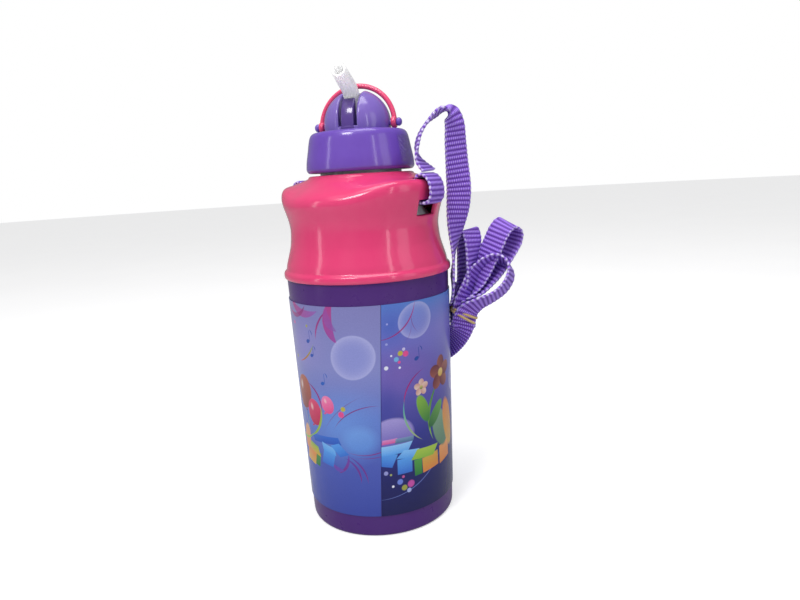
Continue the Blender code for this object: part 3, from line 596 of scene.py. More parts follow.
class Picture:
    """Lays the marks of the print over one another in a material."""

    def __init__(self, tree, place, ground):
        self.tree, self.place, self.colour = tree, place, ground
        self.discs, self.strokes, self.blocks = disc_mark(), stroke_mark(), block_mark()

    def mark(self, group, centre, inputs):
        return self.tree.group(group, {"Place": self.place, "Centre": (*centre, 0.0), **inputs})

    def lay(self, mask, opacity, low, shade=None, top=None):
        colour = (*low, 1.0)
        if top is not None:
            colour = self.tree.mix(shade, colour, (*top, 1.0))
        if opacity < 1.0:
            mask = self.tree.math("MULTIPLY", mask, opacity)
        self.colour = self.tree.mix(mask, self.colour, colour)

    def disc(self, centre, size, turn, soft, colour, opacity, top=None):
        outputs = self.mark(self.discs, centre, {
            "Size": (*size, 1.0), "Turn": math.radians(turn), "Soft": soft})
        self.lay(outputs["Mask"], opacity, colour, outputs["Height"], top)
        return outputs

    def stroke(self, centre, radius, middle, half, thick, colour, opacity, end=None):
        outputs = self.mark(self.strokes, centre, {
            "Radius": radius, "Middle": math.radians(middle), "Half": math.radians(half),
            "Thick": thick})
        self.lay(outputs["Mask"], opacity, colour, outputs["Along"], end)

    def block(self, centre, size, lean, turn, colour, opacity, top=None):
        outputs = self.mark(self.blocks, centre, {
            "Half Width": size[0], "Half Height": size[1], "Lean": lean,
            "Turn": math.radians(turn)})
        self.lay(outputs["Mask"], opacity, colour, outputs["Height"], top)

    def dot(self, centre, radius, colour):
        self.disc(centre, (radius, radius), 0.0, 0.25, colour, 1.0)

    def bubble(self, centre, size, colour):
        outputs = self.disc(centre, size, 0.0, 0.05, colour, 0.5)
        rim = self.tree.math("MULTIPLY", outputs["Rim"], GLINTS)
        self.colour = self.tree.mix(rim, self.colour, (0.62, 0.62, 0.88, 1.0))

    def balloon(self, centre, size, turn, colour, top):
        self.disc(centre, size, turn, 0.06, colour, 1.0, top)
        shine = (centre[0] - size[0] * 0.32, centre[1] + size[1] * 0.38)
        self.disc(shine, (size[0] * 0.26, size[1] * 0.34), turn, 0.8, (0.95, 0.85, 0.8), 0.55)
        knot = (centre[0] + size[1] * 0.9 * math.sin(math.radians(turn)),
                centre[1] - size[1] * 1.03 * math.cos(math.radians(turn)))
        self.block(knot, (0.8, 0.5), 0.0, turn, colour, 1.0)

    def flower(self, centre, radius, low, high, heart):
        for petal in range(5):
            angle = math.radians(72 * petal + 90)
            place = (centre[0] + 0.58 * radius * math.cos(angle),
                     centre[1] + 0.58 * radius * math.sin(angle))
            self.disc(place, (radius * 0.52, radius * 0.42), -math.degrees(angle), 0.12, low, 1.0,
                      high)
        self.disc(centre, (radius * 0.28, radius * 0.28), 0.0, 0.2, heart, 1.0, (0.8, 0.6, 0.2))

    def note(self, centre, size, colour):
        self.disc(centre, (size, size * 0.75), -25.0, 0.2, colour, 1.0)
        self.block((centre[0] + size * 0.85, centre[1] + size * 1.9), (0.22, size * 1.9), 0.0, -6.0,
                   colour, 1.0)
        self.stroke((centre[0] + size * 0.2, centre[1] + size * 2.4), size * 1.9, 28.0, 42.0, 0.3,
                    colour, 1.0)


def spans(kind, values):
    """How far across the picture a mark reaches, mm."""
    x, size = values[0][0], values[1]
    if kind == "stroke":
        middle, half, thick = values[2:5]
        across = [x + size * math.cos(math.radians(middle + half * share / 8))
                  for share in range(-8, 9)]
        return min(across) - thick - 0.5, max(across) + thick + 0.5
    if kind == "note":
        reach = 5.0
    elif kind == "block":
        reach = 1.6 * sum(size)
    else:
        reach = 1.15 * (max(size) if isinstance(size, tuple) else size)
    return x - reach, x + reach


def ground_colours(tree, height, stops):
    """A colour ramp up the film."""
    node = tree.add("ShaderNodeValToRGB", {0: height})
    elements = node.color_ramp.elements
    while len(elements) < len(stops):
        elements.new(0.5)
    for element, (position, colour) in zip(elements, stops):
        element.position = position
        element.color = (*colour, 1.0)
    return node.outputs[0]


def printed_film(low, high):
    """The print between two places across the picture: a night-blue to lavender ground,
    bubbles, petals, toy blocks, balloons and flowers."""
    material, tree, shader = new_material("printed_film")
    unwrapped = tree.add("ShaderNodeUVMap", uv_map="Film").outputs[0]
    size = (2 * PRINT_WIDTH, SHEET_HIGH - SHEET_LOW, 1.0)
    spread = tree.vector("MULTIPLY", unwrapped, size)
    place = tree.vector("ADD", spread, (0.0, SHEET_LOW, 0.0))
    place = tree.vector("MODULO", place, (PRINT_WIDTH, 1000.0, 1.0))  # repeats across only
    height = tree.ramp(SHEET_LOW, SHEET_HIGH, tree.part(place, 1))
    pale = ground_colours(tree, height, PALE_GROUND)
    dark = ground_colours(tree, height, DARK_GROUND)
    share = tree.add("ShaderNodeMapRange", {0: tree.part(place, 0), 1: 42.0, 2: 62.0},
                     interpolation_type="SMOOTHSTEP").outputs[0]
    picture = Picture(tree, place, tree.mix(share, dark, pale))
    picture.stroke((-2.0, 60.0), 42.0, -58.0, 40.0, 0.3, (0.16, 0.22, 0.6), 0.8)
    for kind, *values in PICTURE:
        left, right = spans(kind, values)
        if left < high and right > low:
            getattr(picture, kind)(*values)
    ink = tree.math("MULTIPLY_ADD", tree.noise(place, 1.6, 4.0), 0.2, 0.1)
    colour = tree.mix(ink, picture.colour, (0.015, 0.02, 0.14, 1.0))
    tree.link(colour, shader.inputs["Base Color"])
    skin = skinned(tree, (1, 1, 1), (1, 1, 1), 0.22, 0.05)
    tree.feed(shader, {"Roughness": skin["Roughness"], "Normal": skin["Normal"],
                       "Coat Weight": 0.08, "Coat Roughness": 0.08, "Specular IOR Level": 0.16})
    return material


# ---- webbing ------------------------------------------------------------------------------------
def webbing_material(colour, pitch):
    """Woven webbing: crossing ribs, a row of floats on each, and a braided selvedge; painted shade
    sits in the gaps between ribs and painted highlights on the floats and selvedge.
    """
    group, tree, start, end = new_group(
        "WebbingWeave", {"Place": VECTOR, "Pitch": VALUE},
        {"Rib": VALUE, "Float": VALUE, "Selvedge": VALUE, "Height": VALUE})
    parts = tree.add("ShaderNodeSeparateXYZ", {0: start["Place"]}).outputs
    rows = tree.math("DIVIDE", parts[1], start["Pitch"])

    def wave(operation, at):
        return tree.halved(tree.math(operation, tree.math("MULTIPLY", at, FULL_TURN)))

    rib = wave("COSINE", rows)
    row = tree.math("FLOOR", tree.math("ADD", rows, 0.5))
    shifted = tree.math("MULTIPLY_ADD", row, 0.5, parts[0])
    yarn = tree.math("MULTIPLY", tree.math("POWER", wave("COSINE", shifted), 1.5), rib)
    edge = tree.ramp(4.7, 5.3, tree.math("ABSOLUTE", parts[0]))
    selvedge = tree.math("MULTIPLY", edge, wave("SINE", rows))
    tree.link(rib, end["Rib"])
    tree.link(yarn, end["Float"])
    tree.link(selvedge, end["Selvedge"])
    height = tree.math("MULTIPLY_ADD", yarn, 0.6, tree.math("MULTIPLY", rib, 0.4))
    tree.link(tree.math("MAXIMUM", height, selvedge), end["Height"])

    material, tree, shader = new_material("webbing_purple")
    unwrapped = tree.add("ShaderNodeUVMap", uv_map="Weave").outputs[0]
    place = tree.vector("MULTIPLY", unwrapped, (1000.0, 1000.0, 1.0))
    weave = tree.group(group, {"Place": place, "Pitch": pitch / MM})
    glint_noise = tree.noise(place, 3.0, 3.0)
    # Painted shade: the gaps between the ribs are darkened to 0.42 of the strap colour.
    dark = tuple(c * 0.42 for c in colour)
    base = tree.mix(weave["Rib"], (*dark, 1), (*colour, 1))
    # Painted highlight: the floats and the selvedge are lightened towards pale lavender, broken up
    # by noise.
    shine = tree.math("MULTIPLY", tree.math("ADD", weave["Float"], weave["Selvedge"]), 0.62,
                      clamp=True)
    shine = tree.math("MULTIPLY", shine, tree.math("MULTIPLY_ADD", glint_noise, 0.9, 0.45), clamp=True)
    base = tree.mix(shine, base, (*lighter(colour, 0.62), 1))
    rough = tree.math("SUBTRACT", 0.62, tree.math("MULTIPLY", weave["Float"], 0.2))
    bump = tree.add("ShaderNodeBump", {"Strength": 0.75, "Distance": 0.00035,
                                       "Height": weave["Height"]})
    tree.feed(shader, {"Base Color": base, "Roughness": rough, "Normal": bump.outputs[0],
                       "Specular IOR Level": 0.25, "Sheen Weight": 0.12,
                       "Sheen Roughness": 0.4})
    return material


def hank(across, deep, up):
    """A place beside the cup: across to the side, deep away from the front, and up."""
    return tuple(Matrix.Rotation(HANK_TURN, 3, "Z") @ Vector((across, deep, up)))


def tied(deep, up, across=43.4):
    """A stop of the route inside the tie, where the webbing stands on its edge to the cup."""
    return (across, deep, up), (1, 0, 0)


# The strap's route, mm: (place, way its width points). It rises from the near eye, arches over,
# folds up and down through the tie three times, and goes round the back to the far eye.
ARCH = [((33.6, -11.6, 158.6), (0.34, 0.94, 0.0)), ((30.3, -10.8, 162.4), (0.1, 0.99, 0.0)),
        ((28.7, -10.0, 167.4), (-0.3, 0.95, 0.0)), ((29.9, -9.0, 173.4), (-0.32, 0.95, 0.0)),
        ((33.6, -7.3, 179.0), (-0.25, 0.97, 0.0)), ((38.2, -5.1, 182.6), (0.1, 0.99, 0.0)),
        ((42.0, -3.0, 182.4), (0.45, 0.89, 0.0)), ((43.6, -1.5, 177.6), (0.6, 0.8, 0.0)),
        ((43.5, -0.1, 170.0), (0.7, 0.7, 0.0)), ((43.5, 1.4, 161.0), (0.8, 0.6, 0.0)),
        ((43.6, 3.0, 151.0), (0.93, 0.36, 0.0)), ((43.0, 4.0, 144.0), (0.9, 0.43, 0.0)),
        ((41.6, 4.8, 135.0), (0.6, 0.8, 0.0)), ((39.9, 5.9, 124.0), (0.0, 1.0, 0.0)),
        ((39.1, 6.6, 116.0), (-0.2, 0.98, 0.0)), ((38.2, 7.3, 108.0), (-0.25, 0.97, 0.0))]
WINDS = [  # in the hank's own axes
    ((39.6, -1.4, 101.5), (0.45, 0.88, 0.0)), ((42.0, 3.6, 96.5), (0.93, 0.37, 0.0)),
    tied(5.4, 91.4), tied(5.5, 87.4), tied(4.5, 85.2), tied(3.6, 87.4),
    # tall flat loop
    tied(3.6, 91.4, 43.5), ((45.2, 2.0, 98.5), (0.85, 0.52, 0.0)),
    ((47.4, -0.6, 107.0), (0.42, 0.9, 0.08)), ((48.6, -2.0, 117.0), (0.62, 0.77, 0.14)),
    ((49.2, -2.0, 126.0), (0.78, 0.61, 0.1)), ((48.2, 0.4, 130.6), (0.78, 0.61, 0.1)),
    ((46.6, 3.0, 127.0), (0.78, 0.61, 0.1)), ((46.4, 4.6, 117.0), (0.78, 0.61, 0.05)),
    ((45.8, 4.8, 106.0), (0.78, 0.61, 0.0)), ((44.6, 3.0, 97.5), (0.95, 0.3, 0.0)),
    tied(1.8, 91.4), tied(1.8, 87.4), tied(0.9, 85.0), tied(0.0, 87.4),
    # large loop
    tied(0.0, 91.4, 43.6), ((47.0, -0.6, 98.0), (0.6, 0.75, 0.28)),
    ((51.0, -1.0, 106.5), (-0.3, 0.9, 0.32)), ((54.4, -1.8, 115.0), (-0.66, 0.66, 0.36)),
    ((58.4, -2.2, 123.5), (-0.68, 0.62, 0.38)), ((62.0, -1.8, 130.2), (-0.68, 0.62, 0.38)),
    ((65.8, 0.2, 132.8), (-0.66, 0.62, 0.42)), ((69.2, 2.6, 130.0), (-0.64, 0.62, 0.45)),
    ((68.8, 3.6, 124.8), (-0.64, 0.62, 0.45)), ((64.6, 1.8, 118.6), (-0.64, 0.64, 0.42)),
    ((59.2, 0.2, 111.6), (-0.6, 0.68, 0.4)), ((52.6, -1.8, 103.0), (0.0, 0.95, 0.3)),
    ((46.6, -2.4, 96.4), (0.85, 0.5, 0.12)), tied(-1.8, 91.4, 43.6), tied(-1.7, 87.4),
    tied(-2.6, 85.2), tied(-3.5, 87.4),
    # open ring at the front
    tied(-3.7, 91.4, 43.6), ((43.6, -4.0, 97.0), (0.9, 0.3, -0.3)),
    ((45.6, -2.8, 103.0), (0.6, 0.6, -0.5)), ((49.6, -1.4, 109.4), (0.62, 0.56, -0.54)),
    ((55.2, -2.0, 114.6), (0.55, 0.62, -0.56)), ((60.6, -3.4, 116.6), (0.45, 0.7, -0.56)),
    ((64.6, -5.6, 114.4), (0.4, 0.74, -0.54)), ((65.2, -7.4, 109.6), (0.38, 0.75, -0.54)),
    ((62.0, -8.6, 104.2), (0.3, 0.78, -0.54)), ((56.4, -9.0, 100.2), (0.22, 0.8, -0.54)),
    ((50.0, -8.6, 97.4), (0.3, 0.72, -0.6)), ((45.4, -7.2, 94.4), (0.8, 0.35, -0.45)),
    ((43.4, -5.8, 90.4), (0.98, 0.0, -0.15)),
    # under the tie and round the back
    ((42.0, -2.6, 84.6), (0.85, -0.2, -0.45)), ((39.8, 5.2, 77.6), (0.58, -0.42, -0.66)),
    ((36.4, 13.8, 71.2), (0.25, -0.6, -0.75)), ((31.0, 22.8, 67.0), (0.2, -0.3, -0.93)),
    ((22.1, 33.0, 65.0), (0.1, 0.0, -1.0))]
TAIL = [((-4.0, 41.0, 68.0), (-0.2, 0.0, -0.97)), ((-17.4, 37.8, 77.0), (-0.5, -0.3, -0.8)),
        ((-27.6, 31.4, 90.0), (-0.5, -0.6, -0.6)), ((-34.2, 25.2, 104.0), (-0.5, -0.8, -0.3)),
        ((-38.2, 19.4, 118.0), (-0.4, -0.9, 0.0)), ((-39.2, 16.2, 131.0), (-0.34, -0.94, 0.0)),
        ((-38.7, 14.2, 140.0), (-0.34, -0.94, 0.0)), ((-38.8, 14.25, 146.0), (-0.34, -0.94, 0.0)),
        ((-38.8, 14.25, 151.0), (-0.34, -0.94, 0.0))]
STRAP_ROUTE = ARCH + [(hank(*place), hank(*across)) for place, across in WINDS] + TAIL

# The band round an eye's crest: out through the wall hole, up, over and back in at the roof.
EYE_BAND = [(34.0, 145.4), (37.6, 145.6), (39.3, 147.6), (39.6, 150.8), (38.8, 154.0),
            (36.8, 156.4), (34.2, 157.0), (32.3, 155.2), (31.9, 151.2), (32.4, 147.2)]


def evenly(route, step, closed=False):
    """Places a step apart on a smooth curve through the route, and the ways their width points."""
    places = [Vector(place) for place, across in route]
    ways = [Vector(across).normalized() for place, across in route]
    if closed:
        places = places[-1:] + places + places[:2]
        ways = ways[-1:] + ways + ways[:2]
        fine = flowing(places, 24)[24:-24]
        fine_ways = flowing(ways, 24)[24:-24]
    else:
        fine, fine_ways = flowing(places, 24), flowing(ways, 24)
    lengths = [0.0]
    for start, end in zip(fine, fine[1:]):
        lengths.append(lengths[-1] + (end - start).length)
    count = round(lengths[-1] / step)
    found, index = [], 0
    for i in range(count if closed else count + 1):
        at = lengths[-1] * i / count
        while index < len(lengths) - 2 and lengths[index + 1] < at:
            index += 1
        share = (at - lengths[index]) / max(1e-9, lengths[index + 1] - lengths[index])
        found.append((fine[index].lerp(fine[index + 1], share),
                      fine_ways[index].lerp(fine_ways[index + 1], share), at))
    return found


def webbing(route, sizes, closed=False, step=0.4):
    """A ribbed strap with rounded edges, and its unwrapped weave in metres."""
    half, thick = sizes.strap_width / MM / 2, sizes.strap_thickness / MM / 2
    pitch, rise = sizes.rib_pitch / MM, sizes.rib_height / MM
    flat = half - thick * 0.8
    section = [(-half, 0.0), (-half + 0.12, 0.6), (-flat, 1.0), (-flat / 2, 1.0), (0.0, 1.0),
               (flat / 2, 1.0), (flat, 1.0), (half - 0.12, 0.6)]
    section += [(-across, -side) for across, side in section]
    stations = evenly(route, step, closed)
    if closed:
        total = stations[-1][2] + step
        pitch = total / round(total / pitch)
    bm = bmesh.new()
    weave = bm.loops.layers.uv.new("Weave")
    rings = []
    for i, (place, way, at) in enumerate(stations):
        before = stations[i - 1] if i or closed else stations[0]
        last = i + 1 == len(stations) and not closed
        after = stations[i] if last else stations[(i + 1) % len(stations)]
        along = (after[0] - before[0]).normalized()
        side = (way - along * way.dot(along)).normalized()
        face = along.cross(side)
        crown = math.cos(FULL_TURN * at / pitch)
        depth = thick - rise / 2 + rise * 0.5 * (1 + crown)
        wide = 1.0 + 0.018 * crown
        rings.append([bm.verts.new(place + side * across * wide + face * depth * up)
                      for across, up in section])
    count = len(section)
    spans = list(zip(range(len(rings)), range(1, len(rings))))
    if closed:
        spans.append((len(rings) - 1, 0))
    for i, k in spans:
        for j in range(count):
            n = (j + 1) % count
            quad = bm.faces.new((rings[i][j], rings[i][n], rings[k][n], rings[k][j]))
            low, high = stations[i][2], stations[k][2] if k else stations[i][2] + step
            for loop, (a, s) in zip(quad.loops, ((j, low), (n, low), (n, high), (j, high))):
                loop[weave].uv = (section[a][0] * MM, s * MM)
    if not closed:
        bm.faces.new(rings[0])
        bm.faces.new(rings[-1])
    bmesh.ops.recalc_face_normals(bm, faces=bm.faces)
    return bm, stations


class BOTTLE_OT_strap(bpy.types.Operator):
    """Weave the strap, its loops round the eyes and the bands that tie it"""
    bl_idname = "bottle.strap"
    bl_label = "Strap"

    def execute(self, context):
        sizes, colours = context.scene.bottle_sizes, context.scene.bottle_colours
        material = webbing_material(tuple(colours.strap), sizes.rib_pitch)
        for label, side in (("right", 1), ("left", -1)):
            radial = Vector((math.cos(EYE_ANGLE), math.sin(EYE_ANGLE), 0)) * side
            across = Vector((-math.sin(EYE_ANGLE), math.cos(EYE_ANGLE), 0))
            route = [(radial * r + Vector((0, 0, z)), across) for r, z in EYE_BAND]
            bm, stations = webbing(route, sizes, closed=True)
            finished(f"eye_loop_{label}", bm, material, "bottle",
                                  [f"strap_eye_loop_{label}"], 60.0)
        bm, stations = webbing(STRAP_ROUTE, sizes)
        strap = finished("strap", bm, material, "bottle",
                         ["strap_arch", "strap_hank", "strap_tail"], 60.0)
        tie = self.tie(tuple(colours.tie))
        return {"FINISHED"}

    def tie(self, colour):
        """Two turns of a rubber band, pulled tight round the folded strap."""
        bm = bmesh.new()
        for tilt, drop, grow in ((-26.0, 0.9, 0.0), (-33.0, -0.9, 0.15)):
            ring, edges = circle(bm, 12, 0.62)
            turned(bm, math.pi / 2, "X", ring)
            moved(bm, (1.0, 0, 0), ring)
            spun(bm, ring + edges, 72)
            verts = list({v for f in bm.faces if not f.tag for v in f.verts})
            for face in bm.faces:
                face.tag = True
            for vert in verts:
                # the middle circle, radius 1, becomes the bundle's rounded oblong
                angle = math.atan2(vert.co.y, vert.co.x)
                out = math.hypot(vert.co.x, vert.co.y) - 1.0
                c, s = math.cos(angle), math.sin(angle)
                reach = (abs(c) ** 4 + abs(s) ** 4) ** -0.25
                vert.co.x = c * (reach * (6.3 + grow) + out)
                vert.co.y = s * (reach * (7.1 + grow) + out)
                vert.co.z += drop
            turned(bm, -math.radians(tilt), "Y", verts)
        moved(bm, TIE_PLACE)
        turned(bm, HANK_TURN, "Z")
        tidied(bm)
        material = plastic("tie_gold", colour, lighter(colour, 0.35), 0.38, 0.3, 0.1)
        return finished("rubber_tie", bm, material, "bottle", ["strap_tie"])


# ---- cup, film, collar and inner bottle ---------------------------------------------------------
def cup_radius(height):
    return CUP_FOOT_RADIUS + CUP_TAPER * height


class BOTTLE_OT_cup(bpy.types.Operator):
    """Turn the outer cup and the clear bottle inside it"""
    bl_idname = "bottle.cup"
    bl_label = "Cup"

    def execute(self, context):
        colour = tuple(context.scene.bottle_colours.cup)
        low = cup_radius(0.0)
        outside = eased([(0.0, 2.0), (26.6, 2.0), (27.6, 0.0), (low - 0.1, 0.0),
                         (cup_radius(4.0), 4.0), (cup_radius(60.0), 60.0),
                         (cup_radius(CUP_TOP), CUP_TOP),
                         (cup_radius(CUP_TOP) - CUP_WALL, CUP_TOP)], 2.6, 6)
        inside = [(cup_radius(60.0) - CUP_WALL, 60.0), (cup_radius(5.6) - CUP_WALL, 5.6),
                  (cup_radius(3.6) - CUP_WALL - 1.5, 3.6), (0.0, 3.6)]
        bm = lathe(outside + inside, 180)
        material = plastic("cup_purple", colour, lighter(colour, 0.03), 0.3, 0.05, 0.12,
                           Specular_IOR_Level=0.2)
        finished("cup", bm, material, "bottle", ["outer_cup"])
        self.inner_bottle()
        return {"FINISHED"}

    def inner_bottle(self):
        """The clear bottle, with two turns of thread on its neck."""
        def body(height):
            return cup_radius(height) - 2.5

        outside = [(0.0, 4.4), (body(4.4) - 4.0, 4.4), (body(8.4), 8.4), (body(100.0), 100.0),
                   (33.2, 108.0), (31.0, 116.0), (31.0, 134.0), (30.0, 139.0), (27.5, 143.5),
                   (24.0, 147.3), (20.5, 150.3), (NECK_RADIUS, 153.5), (NECK_RADIUS, MOUTH_TOP),
                   (NECK_BORE, MOUTH_TOP), (NECK_BORE, 153.5), (19.2, 149.8), (22.9, 146.3),
                   (26.4, 142.6), (28.8, 138.6), (29.8, 134.0), (29.8, 116.0), (32.0, 108.0),
                   (body(100.0) - 1.2, 100.0), (body(9.4) - 1.2, 9.4), (body(4.4) - 4.5, 5.6),
                   (0.0, 5.6)]
        bm = lathe(eased(outside, 0.5, 3), 128)
        ridge = bmesh.new()
        geom = outline_edges(ridge, [(18.1, -1.15), (19.2, -0.5), (19.5, 0.0), (19.2, 0.5),
                                     (18.1, 1.15)], closed=True)
        moved(ridge, (0, 0, THREAD_LOW))
        steps = 144
        spun(ridge, geom, steps, angle=FULL_TURN * THREAD_TURNS, merge=False,
             dvec=(0, 0, THREAD_LEAD * THREAD_TURNS / steps))
        bmesh.ops.holes_fill(ridge, edges=boundary(ridge), sides=0)
        take(bm, tidied(ridge))
        material = plastic("liner_clear", (0.80, 0.84, 0.88), (0.86, 0.9, 0.94), 0.22, 0.1, 0.2,
                           Transmission_Weight=0.35)
        finished("clear_bottle", bm, material, "bottle", ["inner_bottle"])


class BOTTLE_OT_film(bpy.types.Operator):
    """Wrap the printed film round the cup"""
    bl_idname = "bottle.film"
    bl_label = "Printed film"

    def execute(self, context):
        gap = FILM_SEAM / CUP_FOOT_RADIUS
        rows = 12
        bm = bmesh.new()
        levels = [SHEET_LOW + (SHEET_HIGH - SHEET_LOW) * i / rows for i in range(rows + 1)]
        profile = [(cup_radius(z) + FILM_OFF_CUP + FILM_THICKNESS, z) for z in levels]
        profile += [(cup_radius(z) + FILM_OFF_CUP, z) for z in reversed(levels)]
        spun(bm, outline_edges(bm, profile, closed=True), 216, angle=FULL_TURN - gap,
             merge=False)
        bmesh.ops.holes_fill(bm, edges=boundary(bm), sides=0)
        bmesh.ops.recalc_face_normals(bm, faces=bm.faces)
        film = bm.loops.layers.uv.new("Film")
        for face in bm.faces:
            middle = face.calc_center_median()
            round_it = math.atan2(middle.y, middle.x) % FULL_TURN
            for loop in face.loops:
                angle = math.atan2(loop.vert.co.y, loop.vert.co.x) % FULL_TURN
                if angle - round_it > math.pi:
                    angle -= FULL_TURN
                if round_it - angle > math.pi:
                    angle += FULL_TURN
                rise = (loop.vert.co.z - SHEET_LOW) / (SHEET_HIGH - SHEET_LOW)
                loop[film].uv = (max(0.0, angle) / FULL_TURN, rise)
            face.material_index = int(round_it / FULL_TURN * 2 * PRINT_PANELS) % PRINT_PANELS
        for vert in bm.verts:  # the film is a true oblong, so its seam leans on the tapered cup
            rise = (vert.co.z - SHEET_LOW) / (SHEET_HIGH - SHEET_LOW)
            start = SEAM_LOW_ANGLE + (SEAM_TOP_ANGLE - SEAM_LOW_ANGLE) * rise
            vert.co.rotate(Matrix.Rotation(start + gap / 2, 3, "Z"))
        film = finished("film", bm, printed_film(0.0, PRINT_WIDTH / PRINT_PANELS), "bottle",
                        ["picture_sheet"])
        for panel in range(1, PRINT_PANELS):
            film.data.materials.append(printed_film(PRINT_WIDTH * panel / PRINT_PANELS,
                                                    PRINT_WIDTH * (panel + 1) / PRINT_PANELS))
        return {"FINISHED"}


class BOTTLE_OT_collar(bpy.types.Operator):
    """Turn the collar, raise its crests and open its strap eyes"""
    bl_idname = "bottle.collar"
    bl_label = "Collar"

    def execute(self, context):
        colour = tuple(context.scene.bottle_colours.collar)
        front = [tuple(p) for p in flowing(COLLAR_FRONT, 4)]
        eye = [tuple(p) for p in flowing(COLLAR_EYE, 4)]
        bm = bmesh.new()
        row_of = bm.verts.layers.int.new("row")
        bead = [tuple(p) for p in flowing(COLLAR_BEAD, 3)]
        inner_front, inner_eye = self.inset(front), self.inset(eye)
        profile = bead + front + COLLAR_LIP + inner_front[::-1] + COLLAR_SKIRT
        geom = outline_edges(bm, profile, closed=True)
        for i, vert in enumerate(verts_in(geom)):
            out, back = i - len(bead), i - len(bead) - len(front) - len(COLLAR_LIP)
            if 0 <= out < len(front):
                vert[row_of] = out + 1
            if 0 <= back < len(front):
                vert[row_of] = back - len(front)
        spun(bm, geom, COLLAR_STEPS)
        bmesh.ops.remove_doubles(bm, verts=bm.verts, dist=1e-4)
        for vert in bm.verts:
            row = vert[row_of]
            if row == 0:
                continue
            angle = math.atan2(vert.co.y, vert.co.x)
            off_eye = math.degrees(math.acos(min(1.0, abs(math.cos(angle)))))
            share = smoothstep((EYE_NONE - off_eye) / (EYE_NONE - EYE_FULL))
            first, second = (front, eye) if row > 0 else (inner_front, inner_eye)
            start, end = Vector(first[abs(row) - 1]), Vector(second[abs(row) - 1])
            radius, height = start.lerp(end, share)
            vert.co = (radius * math.cos(angle), radius * math.sin(angle), height)
        self.open_eyes(bm, row_of, eye)
        turned(bm, EYE_ANGLE, "Z")
        bmesh.ops.recalc_face_normals(bm, faces=bm.faces)
        material = plastic("collar_pink", colour, lighter(colour, 0.06), 0.2, 0.12, 0.9)
        finished("collar_shell", bm, material, "bottle", ["collar"], 50.0)
        return {"FINISHED"}

    def inset(self, outline):
        """The outline of the wall's inside."""
        found = []
        for i, (radius, height) in enumerate(outline):
            before, after = outline[max(i - 1, 0)], outline[min(i + 1, len(outline) - 1)]
            dr, dz = after[0] - before[0], after[1] - before[1]
            length = math.hypot(dr, dz)
            found.append((radius - COLLAR_WALL * dz / length,
                          height + COLLAR_WALL * dr / length))
        return found

    def open_eyes(self, bm, row_of, eye):
        """Open each eye's wall hole and roof slot, line them and round their rims."""
        half = (EYE_COLUMNS + 0.2) * FULL_TURN / COLLAR_STEPS
        wall = [i + 1 for i, (r, z) in enumerate(eye) if 140.0 <= z <= 147.2]
        roof = [i + 1 for i, (r, z) in enumerate(eye) if 30.7 <= r <= 33.9 and z > 150.0]
        rims = []
        for side in (0.0, math.pi):
            for rows in (wall, roof):
                taken = []
                for face in bm.faces:
                    inside = all(abs(v[row_of]) in rows for v in face.verts)
                    one_skin = len({v[row_of] > 0 for v in face.verts}) == 1
                    if inside and one_skin and all(self.turn_off(v.co, side) < half
                                                   for v in face.verts):
                        taken.append(face)
                near = {v for face in taken for v in face.verts}
                bmesh.ops.delete(bm, geom=taken, context="FACES")
                loops = [e for e in bm.edges if e.is_valid and e.is_boundary
                         and e.verts[0] in near and e.verts[1] in near]
                outer = [e for e in loops if e.verts[0][row_of] > 0]
                bmesh.ops.bridge_loops(bm, edges=loops)
                rims += outer
        rims = [edge for edge in rims if edge.is_valid]
        bmesh.ops.smooth_vert(bm, verts=list({v for e in rims for v in e.verts}), factor=0.25,
                              use_axis_x=True, use_axis_y=True, use_axis_z=True)
        rounded(bm, rims, 0.35)

    def turn_off(self, place, side):
        """How far round a place lies from one side's eye."""
        turn = (math.atan2(place.y, place.x) - side) % FULL_TURN
        return min(turn, FULL_TURN - turn)


# ---- cap, dome, bail and spout -----------------------------------------------------------------
GRIP_RADIUS = 0.0238          # the cap's radius at its grip, metres


def grip_material(colour, pitch):
    """The cap's plastic, with fine diamonds on the two sides that fingers turn it by."""
    material = plastic("cap_purple", colour, lighter(colour, 0.10), 0.2, 0.14, 0.8)
    tree, shader = Tree(material.node_tree), material.node_tree.nodes["Principled BSDF"]
    parts = tree.add("ShaderNodeSeparateXYZ", {0: tree.object_place()}).outputs
    angle = tree.math("ARCTAN2", parts[1], tree.math("ABSOLUTE", parts[0]))
    along = tree.math("MULTIPLY", angle, GRIP_RADIUS / pitch * FULL_TURN)
    up = tree.math("MULTIPLY", parts[2], FULL_TURN / pitch)
    one = tree.math("SINE", tree.math("ADD", along, up))
    other = tree.math("SINE", tree.math("SUBTRACT", along, up))
    diamonds = tree.math("MINIMUM", one, other)
    panel = tree.ramp(0.46, 0.38, tree.math("ABSOLUTE", angle))
    low, high = tree.ramp(0.1625, 0.1632, parts[2]), tree.ramp(0.1745, 0.1737, parts[2])
    reach = tree.math("MULTIPLY", panel, tree.math("MULTIPLY", low, high))
    height = tree.math("MULTIPLY", diamonds, reach)
    skin = shader.inputs["Normal"].links[0].from_socket
    bump = tree.add("ShaderNodeBump", {"Strength": 0.8, "Distance": 0.0003, "Height": height,
                                       "Normal": skin})
    tree.link(bump.outputs[0], shader.inputs["Normal"])
    return material


